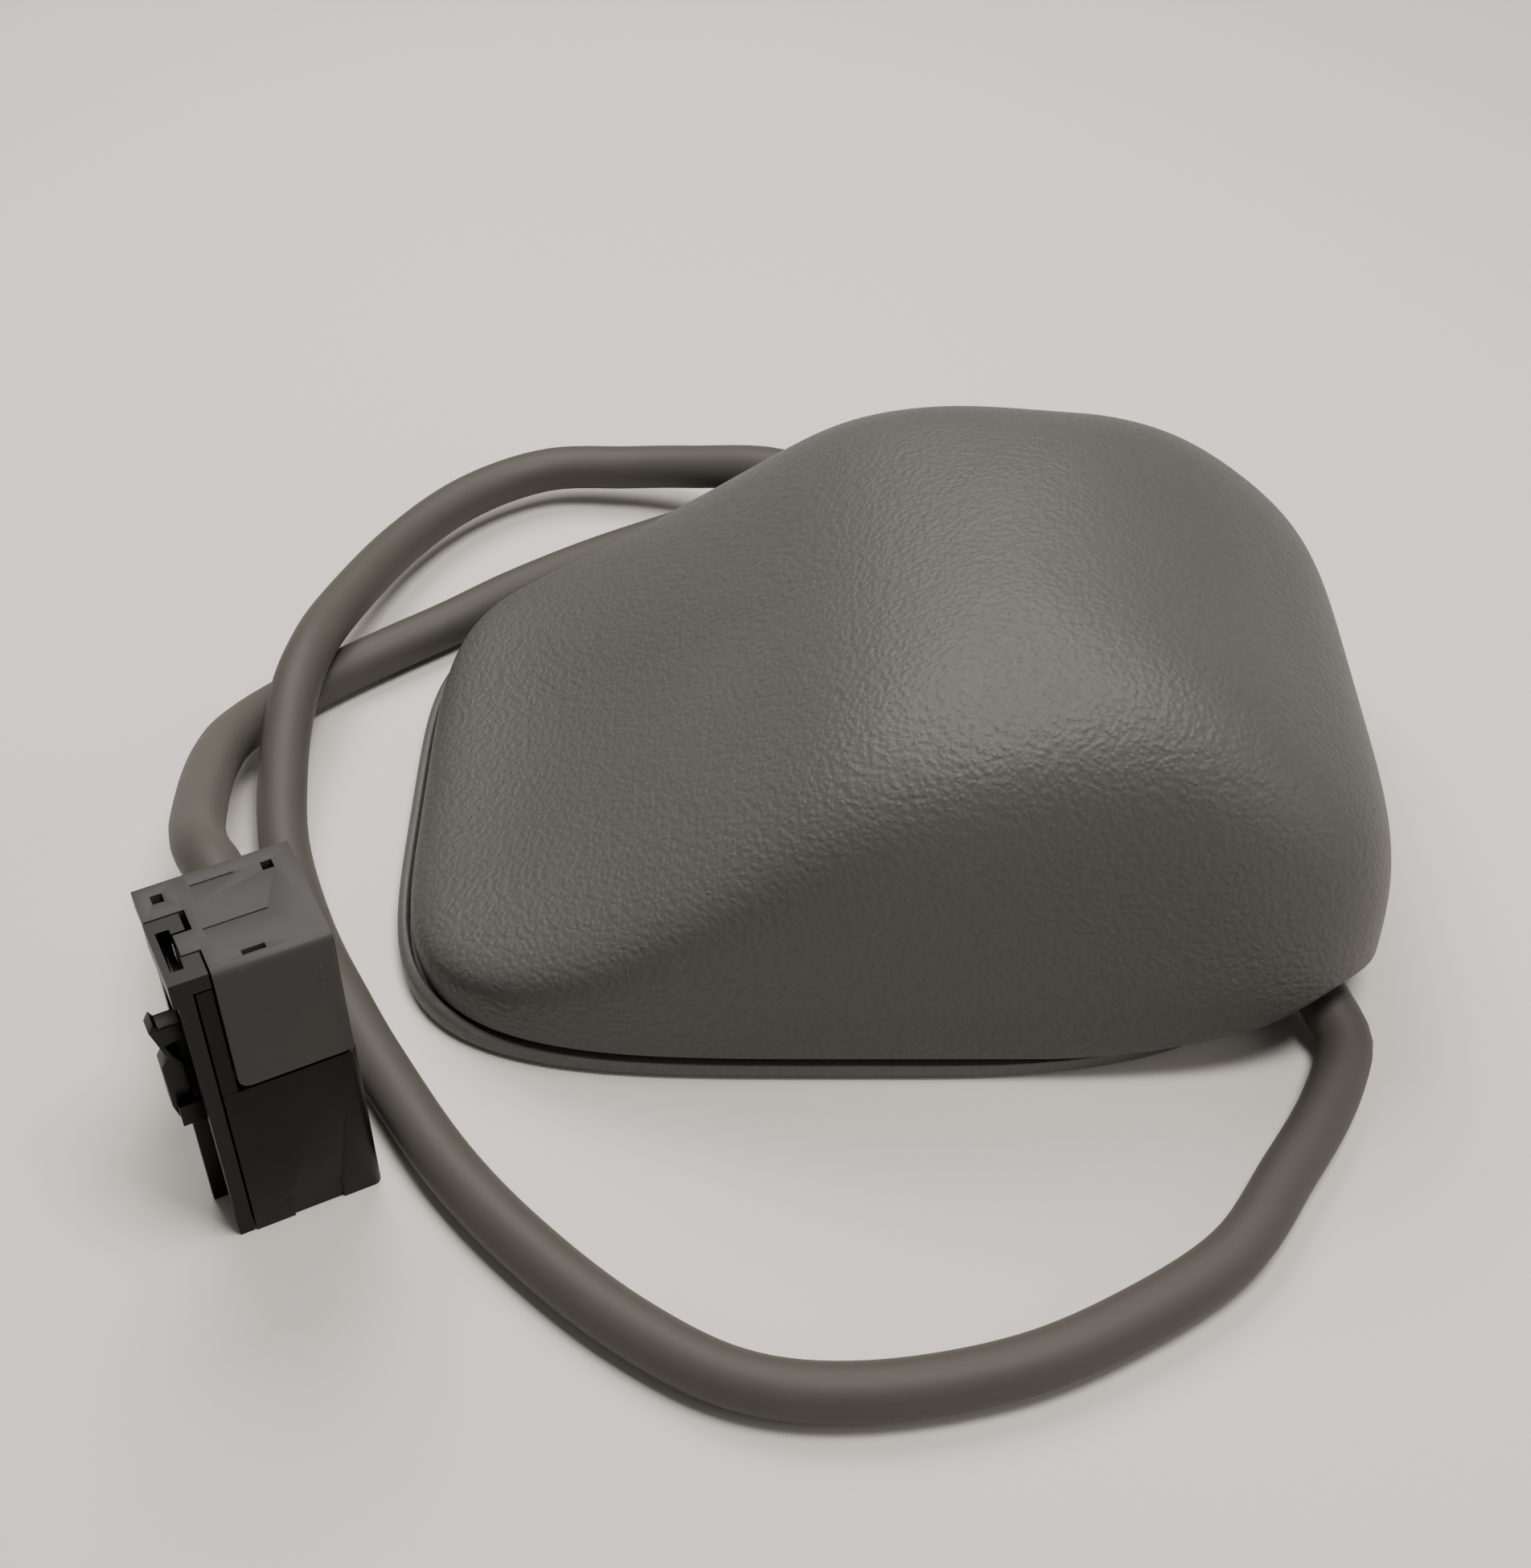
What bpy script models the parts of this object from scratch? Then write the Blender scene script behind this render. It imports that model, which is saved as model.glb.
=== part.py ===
"""Foot control of a sewing machine: a rocking tread shell on a base tray, with its cord and plug.

Frame: metres, +Z up, +X towards the tall toe end, origin under the middle of the body, on the floor.
"""

import math

import bmesh
import bpy
from mathutils import Matrix, Vector

MM = 0.001
GAP = 0.3 * MM

# Tread shell
SHELL_LEFT = 73.1 * MM
SHELL_RIGHT = 75.1 * MM
HALF_WIDTH = 53.0 * MM
SHELL_WALL = 2.4 * MM
PLAN_POWER_LEFT = 4.2
PLAN_POWER_RIGHT = 5.0
SIDE_POWER_LEFT = 6.6
SIDE_POWER_RIGHT = 3.3
EDGE_LOW = 5.0 * MM
EDGE_HIGH = 9.8 * MM
CORD_ARCH_RISE = 4.2 * MM
CORD_ARCH_SPREAD = 10.0 * MM
SCOOP_DEPTH = 3.2 * MM
SCOOP_CENTRE = 30.0 * MM
SCOOP_SPREAD = 30.0 * MM
TREAD_PROFILE = (
    (-75, 16.6), (-60, 17.4), (-45, 23.6), (-24, 38.5), (-6, 52.6), (12, 59.6),
    (30, 61.8), (48, 58.6), (62, 53.2), (76, 50.5),
)
SHELL_COLUMNS = 64
WALL_ROWS = 6
TOP_ROWS = 7

# Rocking pivot
PIVOT = Vector((0.0, 0.0, 16.0 * MM))
PIN_RADIUS = 2.5 * MM
RIB_Y = 27.0 * MM
RIB_THICKNESS = 3.0 * MM
UPRIGHT_Y = 34.0 * MM
UPRIGHT_THICKNESS = 5.0 * MM

# Base tray
TRAY_LEFT = 75.1 * MM
TRAY_RIGHT = 66.0 * MM
TRAY_HALF_WIDTH = 52.6 * MM
TRAY_BOTTOM = 0.8 * MM
TRAY_TOP = 3.6 * MM
FOOT_RADIUS = 6.0 * MM

# Speed sensor
SECTOR_RADIUS = 30.0 * MM
PINION_RADIUS = 4.0 * MM
PINION_TEETH = 12
GEAR_Y = 23.6 * MM
GEAR_THICKNESS = 2.6 * MM
TOOTH_TIP = 0.45 * MM
TOOTH_ROOT = 0.70 * MM

# Cord and plug
CORD_RADIUS = 4.0 * MM
CORD_POINTS = 74
PLUG_CORNER = Vector((-87.8 * MM, -79.3 * MM, 0.0))
PLUG_TURN = math.radians(26.5)
PLUG_HEIGHT = 51.8 * MM
HOOD_LEFT = 2.4 * MM
HOOD_RIGHT = 17.9 * MM
HOOD_DEPTH = 18.5 * MM
HOOD_BOTTOM = 29.9 * MM
CABLE_A = 9.6 * MM
CABLE_Z = 39.0 * MM
RELIEF_START = Vector((59.2, -26.0, 7.9)) * MM
RELIEF_END = Vector((63.0, -37.3, 6.3)) * MM


def clear_scene():
    for thing in list(bpy.data.objects):
        bpy.data.objects.remove(thing, do_unlink=True)


def new_collection(name):
    collection = bpy.data.collections.new(name)
    bpy.context.scene.collection.children.link(collection)
    return collection


def new_material(name, colour, roughness, metallic=0.0):
    material = bpy.data.materials.new(name)
    material.use_nodes = True
    shader = material.node_tree.nodes["Principled BSDF"]
    shader.inputs["Base Color"].default_value = (*colour, 1.0)
    shader.inputs["Roughness"].default_value = roughness
    shader.inputs["Metallic"].default_value = metallic
    return material


def add_object(name, mesh, material, smooth=True):
    thing = bpy.data.objects.new(name, mesh)
    mesh.materials.clear()
    mesh.materials.append(material)
    if smooth:
        mesh.shade_smooth()
        mesh.set_sharp_from_angle(angle=math.radians(35))
    PARTS.objects.link(thing)
    return thing


def add_tool(name, mesh):
    thing = bpy.data.objects.new(name, mesh)
    thing.hide_render = True
    thing.display_type = "WIRE"
    CUTTERS.objects.link(thing)
    return thing


def mesh_from(name, build):
    work = bmesh.new()
    build(work)
    mesh = bpy.data.meshes.new(name)
    bmesh.ops.recalc_face_normals(work, faces=work.faces)
    work.to_mesh(mesh)
    work.free()
    return mesh


def box_mesh(name, low, high):
    low = Vector(low)
    high = Vector(high)
    size = high - low
    place = Matrix.Translation((low + high) / 2) @ Matrix.Diagonal((*size, 1.0))
    return mesh_from(name, lambda work: bmesh.ops.create_cube(work, size=1.0, matrix=place))


def rod_mesh(name, start, end, radius, end_radius=None, sides=24):
    start = Vector(start)
    end = Vector(end)
    along = end - start
    turn = along.to_track_quat("Z", "Y").to_matrix().to_4x4()
    place = Matrix.Translation((start + end) / 2) @ turn

    def build(work):
        bmesh.ops.create_cone(
            work, cap_ends=True, segments=sides, radius1=radius,
            radius2=radius if end_radius is None else end_radius,
            depth=along.length, matrix=place,
        )

    return mesh_from(name, build)


def combine(target, tool, operation):
    step = target.modifiers.new(tool.name, "BOOLEAN")
    step.operation = operation
    step.solver = "EXACT"
    step.object = tool


def cut_box(target, name, low, high, place=None):
    tool = add_tool(name, box_mesh(name, low, high))
    if place is not None:
        tool.matrix_world = place
    combine(target, tool, "DIFFERENCE")
    return tool


def cut_rod(target, name, start, end, radius, place=None):
    tool = add_tool(name, rod_mesh(name, start, end, radius))
    if place is not None:
        tool.matrix_world = place
    combine(target, tool, "DIFFERENCE")
    return tool


def join_box(target, name, low, high, place=None):
    tool = add_tool(name, box_mesh(name, low, high))
    if place is not None:
        tool.matrix_world = place
    combine(target, tool, "UNION")
    return tool


def join_rod(target, name, start, end, radius, place=None):
    tool = add_tool(name, rod_mesh(name, start, end, radius))
    if place is not None:
        tool.matrix_world = place
    combine(target, tool, "UNION")
    return tool


def turned(name, profile, foot, material, steps=20):
    """A round piece: profile is (radius, height) from the top of the axis to its bottom, in mm."""
    mesh = bpy.data.meshes.new(name)
    points = [(radius * MM, 0.0, height * MM) for radius, height in profile]
    mesh.from_pydata(points, [(i, i + 1) for i in range(len(points) - 1)], [])
    thing = add_object(name, mesh, material, smooth=False)
    thing.location = foot
    screw = thing.modifiers.new("turn", "SCREW")
    screw.steps = steps
    screw.render_steps = steps
    screw.use_merge_vertices = True
    screw.merge_threshold = 0.00001
    screw.use_smooth_shade = False
    return thing


def curve_to_mesh(curve_object, weld=0.00001):
    """The mesh of a curve, with its caps welded on; the curve itself is removed."""
    graph = bpy.context.evaluated_depsgraph_get()
    mesh = bpy.data.meshes.new_from_object(curve_object.evaluated_get(graph))
    work = bmesh.new()
    work.from_mesh(mesh)
    bmesh.ops.remove_doubles(work, verts=work.verts, dist=weld)
    bmesh.ops.recalc_face_normals(work, faces=work.faces)
    work.to_mesh(mesh)
    work.free()
    place = curve_object.matrix_world.copy()
    bpy.data.objects.remove(curve_object, do_unlink=True)
    return mesh, place


def plate(name, outlines, thickness, place, material):
    """A flat piece: closed outlines (the first is the rim, the others are holes) made thick."""
    curve = bpy.data.curves.new(name, "CURVE")
    curve.dimensions = "2D"
    curve.fill_mode = "BOTH"
    curve.extrude = thickness / 2
    for outline in outlines:
        spline = curve.splines.new("POLY")
        spline.points.add(len(outline) - 1)
        for point, (x, y) in zip(spline.points, outline):
            point.co = (x, y, 0.0, 1.0)
        spline.use_cyclic_u = True
    flat = bpy.data.objects.new(name + "_outline", curve)
    PARTS.objects.link(flat)
    mesh, _ = curve_to_mesh(flat)
    thing = add_object(name, mesh, material)
    thing.matrix_world = place
    return thing


def tube(name, points, radius, material, sides=2):
    """A wire or tube along points, with filled ends."""
    curve = bpy.data.curves.new(name, "CURVE")
    curve.dimensions = "3D"
    curve.bevel_depth = radius
    curve.bevel_resolution = sides
    curve.use_fill_caps = True
    spline = curve.splines.new("POLY")
    spline.points.add(len(points) - 1)
    for point, place in zip(spline.points, points):
        point.co = (*place, 1.0)
    thing = bpy.data.objects.new(name, curve)
    curve.materials.append(material)
    PARTS.objects.link(thing)
    return thing


def circle(centre, radius, count=24):
    steps = [2 * math.pi * i / count for i in range(count)]
    return [(centre[0] + radius * math.cos(s), centre[1] + radius * math.sin(s)) for s in steps]


def smooth_step(value, low, high):
    share = min(max((value - low) / (high - low), 0.0), 1.0)
    return share * share * (3 - 2 * share)


def smooth_through(points, count):
    """Points at even steps along a smooth curve through the route's own points."""
    route = [2 * points[0] - points[1], *points, 2 * points[-1] - points[-2]]
    fine = []
    for a, b, c, d in zip(route, route[1:], route[2:], route[3:]):
        for i in range(24):
            t = i / 24
            fine.append(0.5 * (2 * b + (c - a) * t + (2 * a - 5 * b + 4 * c - d) * t ** 2
                               + (3 * b - a - 3 * c + d) * t ** 3))
    fine.append(points[-1].copy())
    reach = [0.0]
    for before, after in zip(fine, fine[1:]):
        reach.append(reach[-1] + (after - before).length)
    even = []
    spot = 0
    for i in range(count):
        want = reach[-1] * i / (count - 1)
        while spot < len(reach) - 2 and reach[spot + 1] < want:
            spot += 1
        share = (want - reach[spot]) / (reach[spot + 1] - reach[spot])
        even.append(fine[spot].lerp(fine[spot + 1], share))
    return even


def tread_height(x):
    """Height of the tread above the floor along the middle of the body."""
    x = x / MM
    knots = TREAD_PROFILE
    x = min(max(x, knots[0][0]), knots[-1][0])
    slopes = [(b[1] - a[1]) / (b[0] - a[0]) for a, b in zip(knots, knots[1:])]
    ends = [slopes[0], *[(a + b) / 2 for a, b in zip(slopes, slopes[1:])], slopes[-1]]
    i = max(k for k in range(len(knots) - 1) if knots[k][0] <= x)
    width = knots[i + 1][0] - knots[i][0]
    t = (x - knots[i][0]) / width
    height = (
        (1 + 2 * t) * (1 - t) ** 2 * knots[i][1] + t * (1 - t) ** 2 * width * ends[i]
        + t * t * (3 - 2 * t) * knots[i + 1][1] - t * t * (1 - t) * width * ends[i + 1]
    )
    return height * MM


def plan_point(angle, left, right, half_width, power_left, power_right):
    c = math.cos(angle)
    s = math.sin(angle)
    power = power_right if c > 0 else power_left
    reach = right if c > 0 else left
    x = reach * math.copysign(abs(c) ** (2 / power), c)
    y = half_width * math.copysign(abs(s) ** (2 / power), s)
    return x, y


def edge_height(x, y):
    """Height of the shell's lower edge: it lifts at the toe end and arches over the cord."""
    lift = EDGE_LOW + (EDGE_HIGH - EDGE_LOW) * smooth_step(x, 22 * MM, 64 * MM)
    away = math.hypot(x - 66 * MM, y + 46 * MM)
    return lift + CORD_ARCH_RISE * math.exp(-((away / CORD_ARCH_SPREAD) ** 2))


def shell_point(x, y, rise, inset, edge_at):
    """A point of the dome over plan point (x, y); rise runs from 0 at the edge to 1 at the top."""
    side = smooth_step(x, -45 * MM, 45 * MM)
    power = SIDE_POWER_LEFT + (SIDE_POWER_RIGHT - SIDE_POWER_LEFT) * side
    corner = 2 ** (-1 / power)
    if rise < 0.5:
        up = corner * rise * 2
        out = (1 - up ** power) ** (1 / power)
    else:
        out = corner * (2 - 2 * rise)
        up = (1 - out ** power) ** (1 / power)
    edge = edge_height(x, y) if edge_at is None else edge_at
    top = tread_height(x * out) - inset
    scoop = math.exp(-(((x - SCOOP_CENTRE) / SCOOP_SPREAD) ** 2)) * math.sin(math.pi * min(up, 1)) ** 2
    inward = math.copysign(SCOOP_DEPTH * scoop * smooth_step(abs(y), 20 * MM, 50 * MM), y)
    return Vector((x * out, y * out - inward, edge + (top - edge) * up))


def dome_rows(work, inset):
    rows = []
    rises = [0.5 * i / WALL_ROWS for i in range(WALL_ROWS)]
    rises += [0.5 + 0.5 * i / TOP_ROWS for i in range(TOP_ROWS)]
    for rise in rises:
        row = []
        for i in range(SHELL_COLUMNS):
            x, y = plan_point(
                2 * math.pi * (i + 0.5) / SHELL_COLUMNS, SHELL_LEFT - inset, SHELL_RIGHT - inset,
                HALF_WIDTH - inset, PLAN_POWER_LEFT, PLAN_POWER_RIGHT,
            )
            row.append(work.verts.new(shell_point(x, y, rise, inset, None)))
        rows.append(row)
    return rows


def bridge_rows(work, rows):
    for low, high in zip(rows, rows[1:]):
        for i in range(len(low)):
            j = (i + 1) % len(low)
            work.faces.new((low[i], low[j], high[j], high[i]))


def close_top(work, row, inset):
    pole = work.verts.new((0.0, 0.0, tread_height(0.0) - inset))
    for i in range(len(row)):
        work.faces.new((row[i], row[(i + 1) % len(row)], pole))


def shell_skin(work):
    rows = dome_rows(work, 0.0)
    bridge_rows(work, rows)
    close_top(work, rows[-1], 0.0)


def shell_core(work):
    """The closed space inside the shell's skin, carried down below the floor."""
    inset = SHELL_WALL / 2
    rows = dome_rows(work, inset)
    under = [work.verts.new((v.co.x, v.co.y, -10 * MM)) for v in rows[0]]
    rows.insert(0, under)
    bridge_rows(work, rows)
    close_top(work, rows[-1], inset)
    work.faces.new(list(reversed(under)))


# Posts inside the shell: x, y, height of the lower end, radius (mm)
SHELL_POSTS = (
    (42.0, 0.0, 25.6, 6.0),
    (-52.0, 0.0, 12.4, 5.0),
    (57.0, 24.0, 13.6, 4.0),
    (61.0, -5.0, 13.6, 4.0),
    (-60.0, 26.0, 7.9, 3.5),
    (-60.0, -26.0, 7.9, 3.5),
    (-38.0, -20.0, 12.1, 3.0),
)


def make_tread_shell(material):
    mesh = bpy.data.meshes.new("tread_shell")
    work = bmesh.new()
    shell_skin(work)
    work.to_mesh(mesh)
    work.free()
    shell = add_object("tread_shell", mesh, material, smooth=False)
    wall = shell.modifiers.new("wall", "SOLIDIFY")
    wall.thickness = SHELL_WALL
    wall.offset = -1
    wall.use_even_offset = True
    core = add_tool("shell_core", mesh_from("shell_core", shell_core))
    for side in (-1, 1):
        low = (-14 * MM, side * RIB_Y - RIB_THICKNESS / 2, 8 * MM)
        high = (14 * MM, side * RIB_Y + RIB_THICKNESS / 2, 70 * MM)
        rib = add_tool(f"rib_{side}", box_mesh("rib", low, high))
        combine(rib, core, "INTERSECT")
        combine(shell, rib, "UNION")
    for i, (x, y, bottom, radius) in enumerate(SHELL_POSTS):
        start = Vector((x, y, bottom)) * MM
        end = Vector((x, y, 75.0)) * MM
        post = add_tool(f"post_{i}", rod_mesh("post", start, end, radius * MM, sides=16))
        combine(post, core, "INTERSECT")
        combine(shell, post, "UNION")
    span = HALF_WIDTH - 10 * MM
    start = PIVOT - Vector((0, span, 0))
    end = PIVOT + Vector((0, span, 0))
    cut_rod(shell, "shell_pin_bore", start, end, PIN_RADIUS + GAP)
    return shell


def make_base_tray(material):
    angles = [2 * math.pi * (i + 0.5) / 72 for i in range(72)]
    rim = [plan_point(a, TRAY_LEFT, TRAY_RIGHT, TRAY_HALF_WIDTH, 4.3, 3.0) for a in angles]
    middle = (TRAY_BOTTOM + TRAY_TOP) / 2
    place = Matrix.Translation((0, 0, middle))
    tray = plate("base_tray", [rim], TRAY_TOP - TRAY_BOTTOM, place, material)
    for side in (-1, 1):
        low = (-8 * MM, side * UPRIGHT_Y - UPRIGHT_THICKNESS / 2, 2 * MM)
        high = (8 * MM, side * UPRIGHT_Y + UPRIGHT_THICKNESS / 2, 22 * MM)
        join_box(tray, f"upright_{side}", low, high)
    span = UPRIGHT_Y + UPRIGHT_THICKNESS
    start = PIVOT - Vector((0, span, 0))
    end = PIVOT + Vector((0, span, 0))
    cut_rod(tray, "tray_pin_bore", start, end, PIN_RADIUS + GAP)
    along = (RELIEF_END - RELIEF_START).normalized()
    seat_low = RELIEF_START - along * 1 * MM
    cut_rod(tray, "relief_seat", seat_low, RELIEF_END + along * 12 * MM, 6.3 * MM)
    for i, (x, y) in enumerate(BOARD_CORNERS):
        spot = Vector((x, y, 0.0)) * MM
        join_rod(tray, f"standoff_{i}", spot + Vector((0, 0, 2 * MM)), spot + Vector((0, 0, 7.7 * MM)), 3 * MM)
        cut_rod(tray, f"standoff_bore_{i}", spot + Vector((0, 0, 4.4 * MM)),
                spot + Vector((0, 0, 9 * MM)), 1.4 * MM)
    for i, (x, y) in enumerate(FOOT_PLACES):
        spot = Vector((x, y, 0.0)) * MM
        cut_rod(tray, f"foot_seat_{i}", spot, spot + Vector((0, 0, 2.0 * MM)), FOOT_RADIUS + GAP)
    return tray


BOARD_CORNERS = ((9.0, -19.0), (9.0, 19.0), (32.0, -19.0), (32.0, 19.0))
FOOT_PLACES = ((-58.0, -34.0), (-58.0, 34.0), (44.0, -32.0), (44.0, 32.0))


def make_feet(material):
    for i, (x, y) in enumerate(FOOT_PLACES):
        profile = ((0, 1.7), (6, 1.7), (6, 0.4), (5.6, 0), (0, 0))
        turned(f"rubber_foot_{i + 1}", profile, (x * MM, y * MM, 0.0), material)


def make_pivot_pin(material):
    span = UPRIGHT_Y + UPRIGHT_THICKNESS / 2 + 1.5 * MM
    start = PIVOT - Vector((0, span, 0))
    end = PIVOT + Vector((0, span, 0))
    return add_object("pivot_pin", rod_mesh("pivot_pin", start, end, PIN_RADIUS), material)


def make_clips(material):
    for side, label in ((-1, "front"), (1, "rear")):
        inside = UPRIGHT_Y + UPRIGHT_THICKNESS / 2 + 1.5 * MM + GAP
        start = PIVOT + Vector((0, side * inside, 0))
        end = PIVOT + Vector((0, side * (inside + 1.2 * MM), 0))
        add_object(f"pin_cap_{label}", rod_mesh("pin_cap", start, end, 4 * MM), material)


def coil_points(x, y, low, high, radius, turns):
    count = turns * 10
    points = []
    for i in range(count + 1):
        angle = 2 * math.pi * i / 10
        height = low + (high - low) * i / count
        points.append((x + radius * math.cos(angle), y + radius * math.sin(angle), height))
    return points


def make_springs(material):
    wire = 0.7 * MM
    low = TRAY_TOP + wire + GAP
    high = 25.6 * MM - wire - GAP
    toe = coil_points(42 * MM, 0.0, low, high, 5 * MM, 6)
    tube("toe_spring", toe, wire, material)
    thin = 0.45 * MM
    low = TRAY_TOP + thin + GAP
    high = 12.4 * MM - thin - GAP
    heel = coil_points(-52 * MM, 0.0, low, high, 3.6 * MM, 4)
    tube("heel_spring", heel, thin, material)


def make_stops(material):
    tall = ((0, 6.2), (3.2, 6.2), (4, 5.4), (4, 0), (0, 0))
    short = ((0, 2.6), (2.8, 2.6), (3.4, 2.0), (3.4, 0), (0, 0))
    floor = TRAY_TOP + GAP
    turned("toe_stop_rear", tall, (57 * MM, 24 * MM, floor), material, 16)
    turned("toe_stop_front", tall, (61 * MM, -5 * MM, floor), material, 16)
    turned("heel_stop_rear", short, (-60 * MM, 26 * MM, floor), material, 16)
    turned("heel_stop_front", short, (-60 * MM, -26 * MM, floor), material, 16)


def make_board(material):
    rim = [(4 * MM, -23 * MM), (35.5 * MM, -23 * MM), (35.5 * MM, 22.6 * MM), (4 * MM, 22.6 * MM)]
    holes = [circle((x * MM, y * MM), 1.5 * MM, 12) for x, y in BOARD_CORNERS]
    place = Matrix.Translation((0, 0, 8.8 * MM))
    return plate("circuit_board", [rim, *holes], 1.6 * MM, place, material)


def make_board_pieces(materials):
    steel, dark, cream, metal = materials
    for i, (x, y) in enumerate(BOARD_CORNERS):
        profile = ((0, 11.5), (2.4, 11.5), (2.6, 9.9), (1.1, 9.9), (1.1, 5.0), (0, 5.0))
        turned(f"board_screw_{i + 1}", profile, (x * MM, y * MM, 0.0), steel, 12)
    low = (26 * MM, -8 * MM, 9.9 * MM)
    high = (31 * MM, 8 * MM, 16 * MM)
    header = add_object("header_socket", box_mesh("header_socket", low, high), cream, smooth=False)
    cut_box(header, "header_mouth", (27 * MM, -7 * MM, 11.4 * MM), (30 * MM, 7 * MM, 18 * MM))
    chip = box_mesh("controller_chip", (12 * MM, -6 * MM, 9.9 * MM), (20 * MM, 6 * MM, 11.7 * MM))
    add_object("controller_chip", chip, dark, smooth=False)
    can = ((0, 8.0), (3.0, 8.0), (3.3, 7.6), (3.3, 0.0), (0, 0.0))
    turned("smoothing_capacitor", can, (15 * MM, 13.5 * MM, 9.9 * MM), metal, 16)


def tooth_outline(radius, teeth, first, count):
    """Teeth as trapezoids round an arc: from tooth number first, count of them."""
    pitch = 2 * math.pi / teeth
    points = []
    for k in range(first, first + count):
        for share, offset in ((-0.29, -TOOTH_ROOT), (-0.11, TOOTH_TIP), (0.11, TOOTH_TIP), (0.29, -TOOTH_ROOT)):
            angle = (k + share) * pitch
            points.append(((radius + offset) * math.cos(angle), (radius + offset) * math.sin(angle)))
    return points


def make_drive_sector(material):
    """Toothed sector on the tread's rear rib, reaching to the pinion on the heel side."""
    teeth = round(PINION_TEETH * SECTOR_RADIUS / PINION_RADIUS)
    arc = tooth_outline(SECTOR_RADIUS, teeth, -4, 9)
    rim = [(-x, y) for x, y in arc]
    hub = [(6.5 * MM * math.cos(math.radians(a)), 6.5 * MM * math.sin(math.radians(a)))
           for a in range(120, -121, -20)]
    bore = circle((0, 0), PIN_RADIUS + GAP, 24)
    turn = Matrix.Rotation(math.radians(90), 4, "X")
    place = Matrix.Translation((PIVOT.x, GEAR_Y, PIVOT.z)) @ turn
    return plate("drive_sector", [rim + hub, bore], GEAR_THICKNESS, place, material)


def make_sensor(materials):
    pom, dark, steel = materials
    axis = Vector((-(SECTOR_RADIUS + PINION_RADIUS), GEAR_Y, PIVOT.z))
    half = 0.5
    pitch = 2 * math.pi / PINION_TEETH
    rim = [
        (x * math.cos(half * pitch) - y * math.sin(half * pitch),
         x * math.sin(half * pitch) + y * math.cos(half * pitch))
        for x, y in tooth_outline(PINION_RADIUS, PINION_TEETH, 0, PINION_TEETH)
    ]
    turn = Matrix.Rotation(math.radians(90), 4, "X")
    pinion = plate("sensor_pinion", [rim], GEAR_THICKNESS, Matrix.Translation(axis) @ turn, pom)
    shaft = rod_mesh("pinion_shaft", (0, 0, 0), (0, 0, GEAR_THICKNESS / 2 + 1.6 * MM), 1.5 * MM)
    tool = add_tool("pinion_shaft", shaft)
    tool.matrix_world = Matrix.Translation(axis) @ turn
    combine(pinion, tool, "UNION")
    face = GEAR_Y - GEAR_THICKNESS / 2 - 1.6 * MM - GAP
    body_end = Vector((axis.x, face, axis.z))
    body = rod_mesh("sensor_body", body_end, body_end - Vector((0, 6.5 * MM, 0)), 7.8 * MM)
    sensor = add_object("speed_sensor", body, dark)
    low = Vector((axis.x - 5 * MM, face - 6.5 * MM, TRAY_TOP + GAP))
    high = Vector((axis.x + 5 * MM, face - 0.8 * MM, axis.z))
    join_box(sensor, "sensor_foot", low, high)
    low = Vector((axis.x - 11 * MM, face - 6.5 * MM, TRAY_TOP + GAP))
    high = Vector((axis.x + 11 * MM, face - 0.8 * MM, TRAY_TOP + 2.5 * MM))
    join_box(sensor, "sensor_flange", low, high)
    return sensor


def make_heel_switch(materials):
    dark, red = materials
    low = Vector((-44.5, -23.2, 3.9)) * MM
    high = Vector((-31.5, -16.8, 9.9)) * MM
    switch = add_object("heel_switch", box_mesh("heel_switch", low, high), dark, smooth=False)
    spot = Vector((-38.0, -20.0, 0.0)) * MM
    cut_rod(switch, "plunger_bore", spot + Vector((0, 0, 5.0 * MM)), spot + Vector((0, 0, 12 * MM)), 1.7 * MM)
    start = spot + Vector((0, 0, 6.2 * MM))
    end = spot + Vector((0, 0, 11.8 * MM))
    add_object("heel_switch_plunger", rod_mesh("heel_switch_plunger", start, end, 1.4 * MM, sides=16), red)


def make_cord_entry(materials):
    rubber, steel, dark = materials
    along = (RELIEF_END - RELIEF_START).normalized()
    relief = rod_mesh("strain_relief", RELIEF_START, RELIEF_END, 6.0 * MM, 4.9 * MM)
    add_object("strain_relief", relief, rubber)
    low = Vector((-6.5, -3.0, 0.0)) * MM
    high = Vector((6.5, 3.0, 3.0)) * MM
    spot = RELIEF_START - along * 6.5 * MM
    turn = Matrix.Rotation(math.atan2(along.y, along.x) + math.pi / 2, 4, "Z")
    clamp = add_object("cord_clamp", box_mesh("cord_clamp", low, high), dark, smooth=False)
    clamp.matrix_world = Matrix.Translation((spot.x, spot.y, TRAY_TOP + GAP)) @ turn
    names = ("red", "white", "blue", "yellow")
    for i, name in enumerate(names):
        make_lead(name, i, RELIEF_START - along * 0.4 * MM)


LEAD_COLOURS = {
    "red": (0.45, 0.02, 0.02),
    "white": (0.75, 0.75, 0.72),
    "blue": (0.03, 0.08, 0.40),
    "yellow": (0.70, 0.50, 0.05),
}


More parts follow.
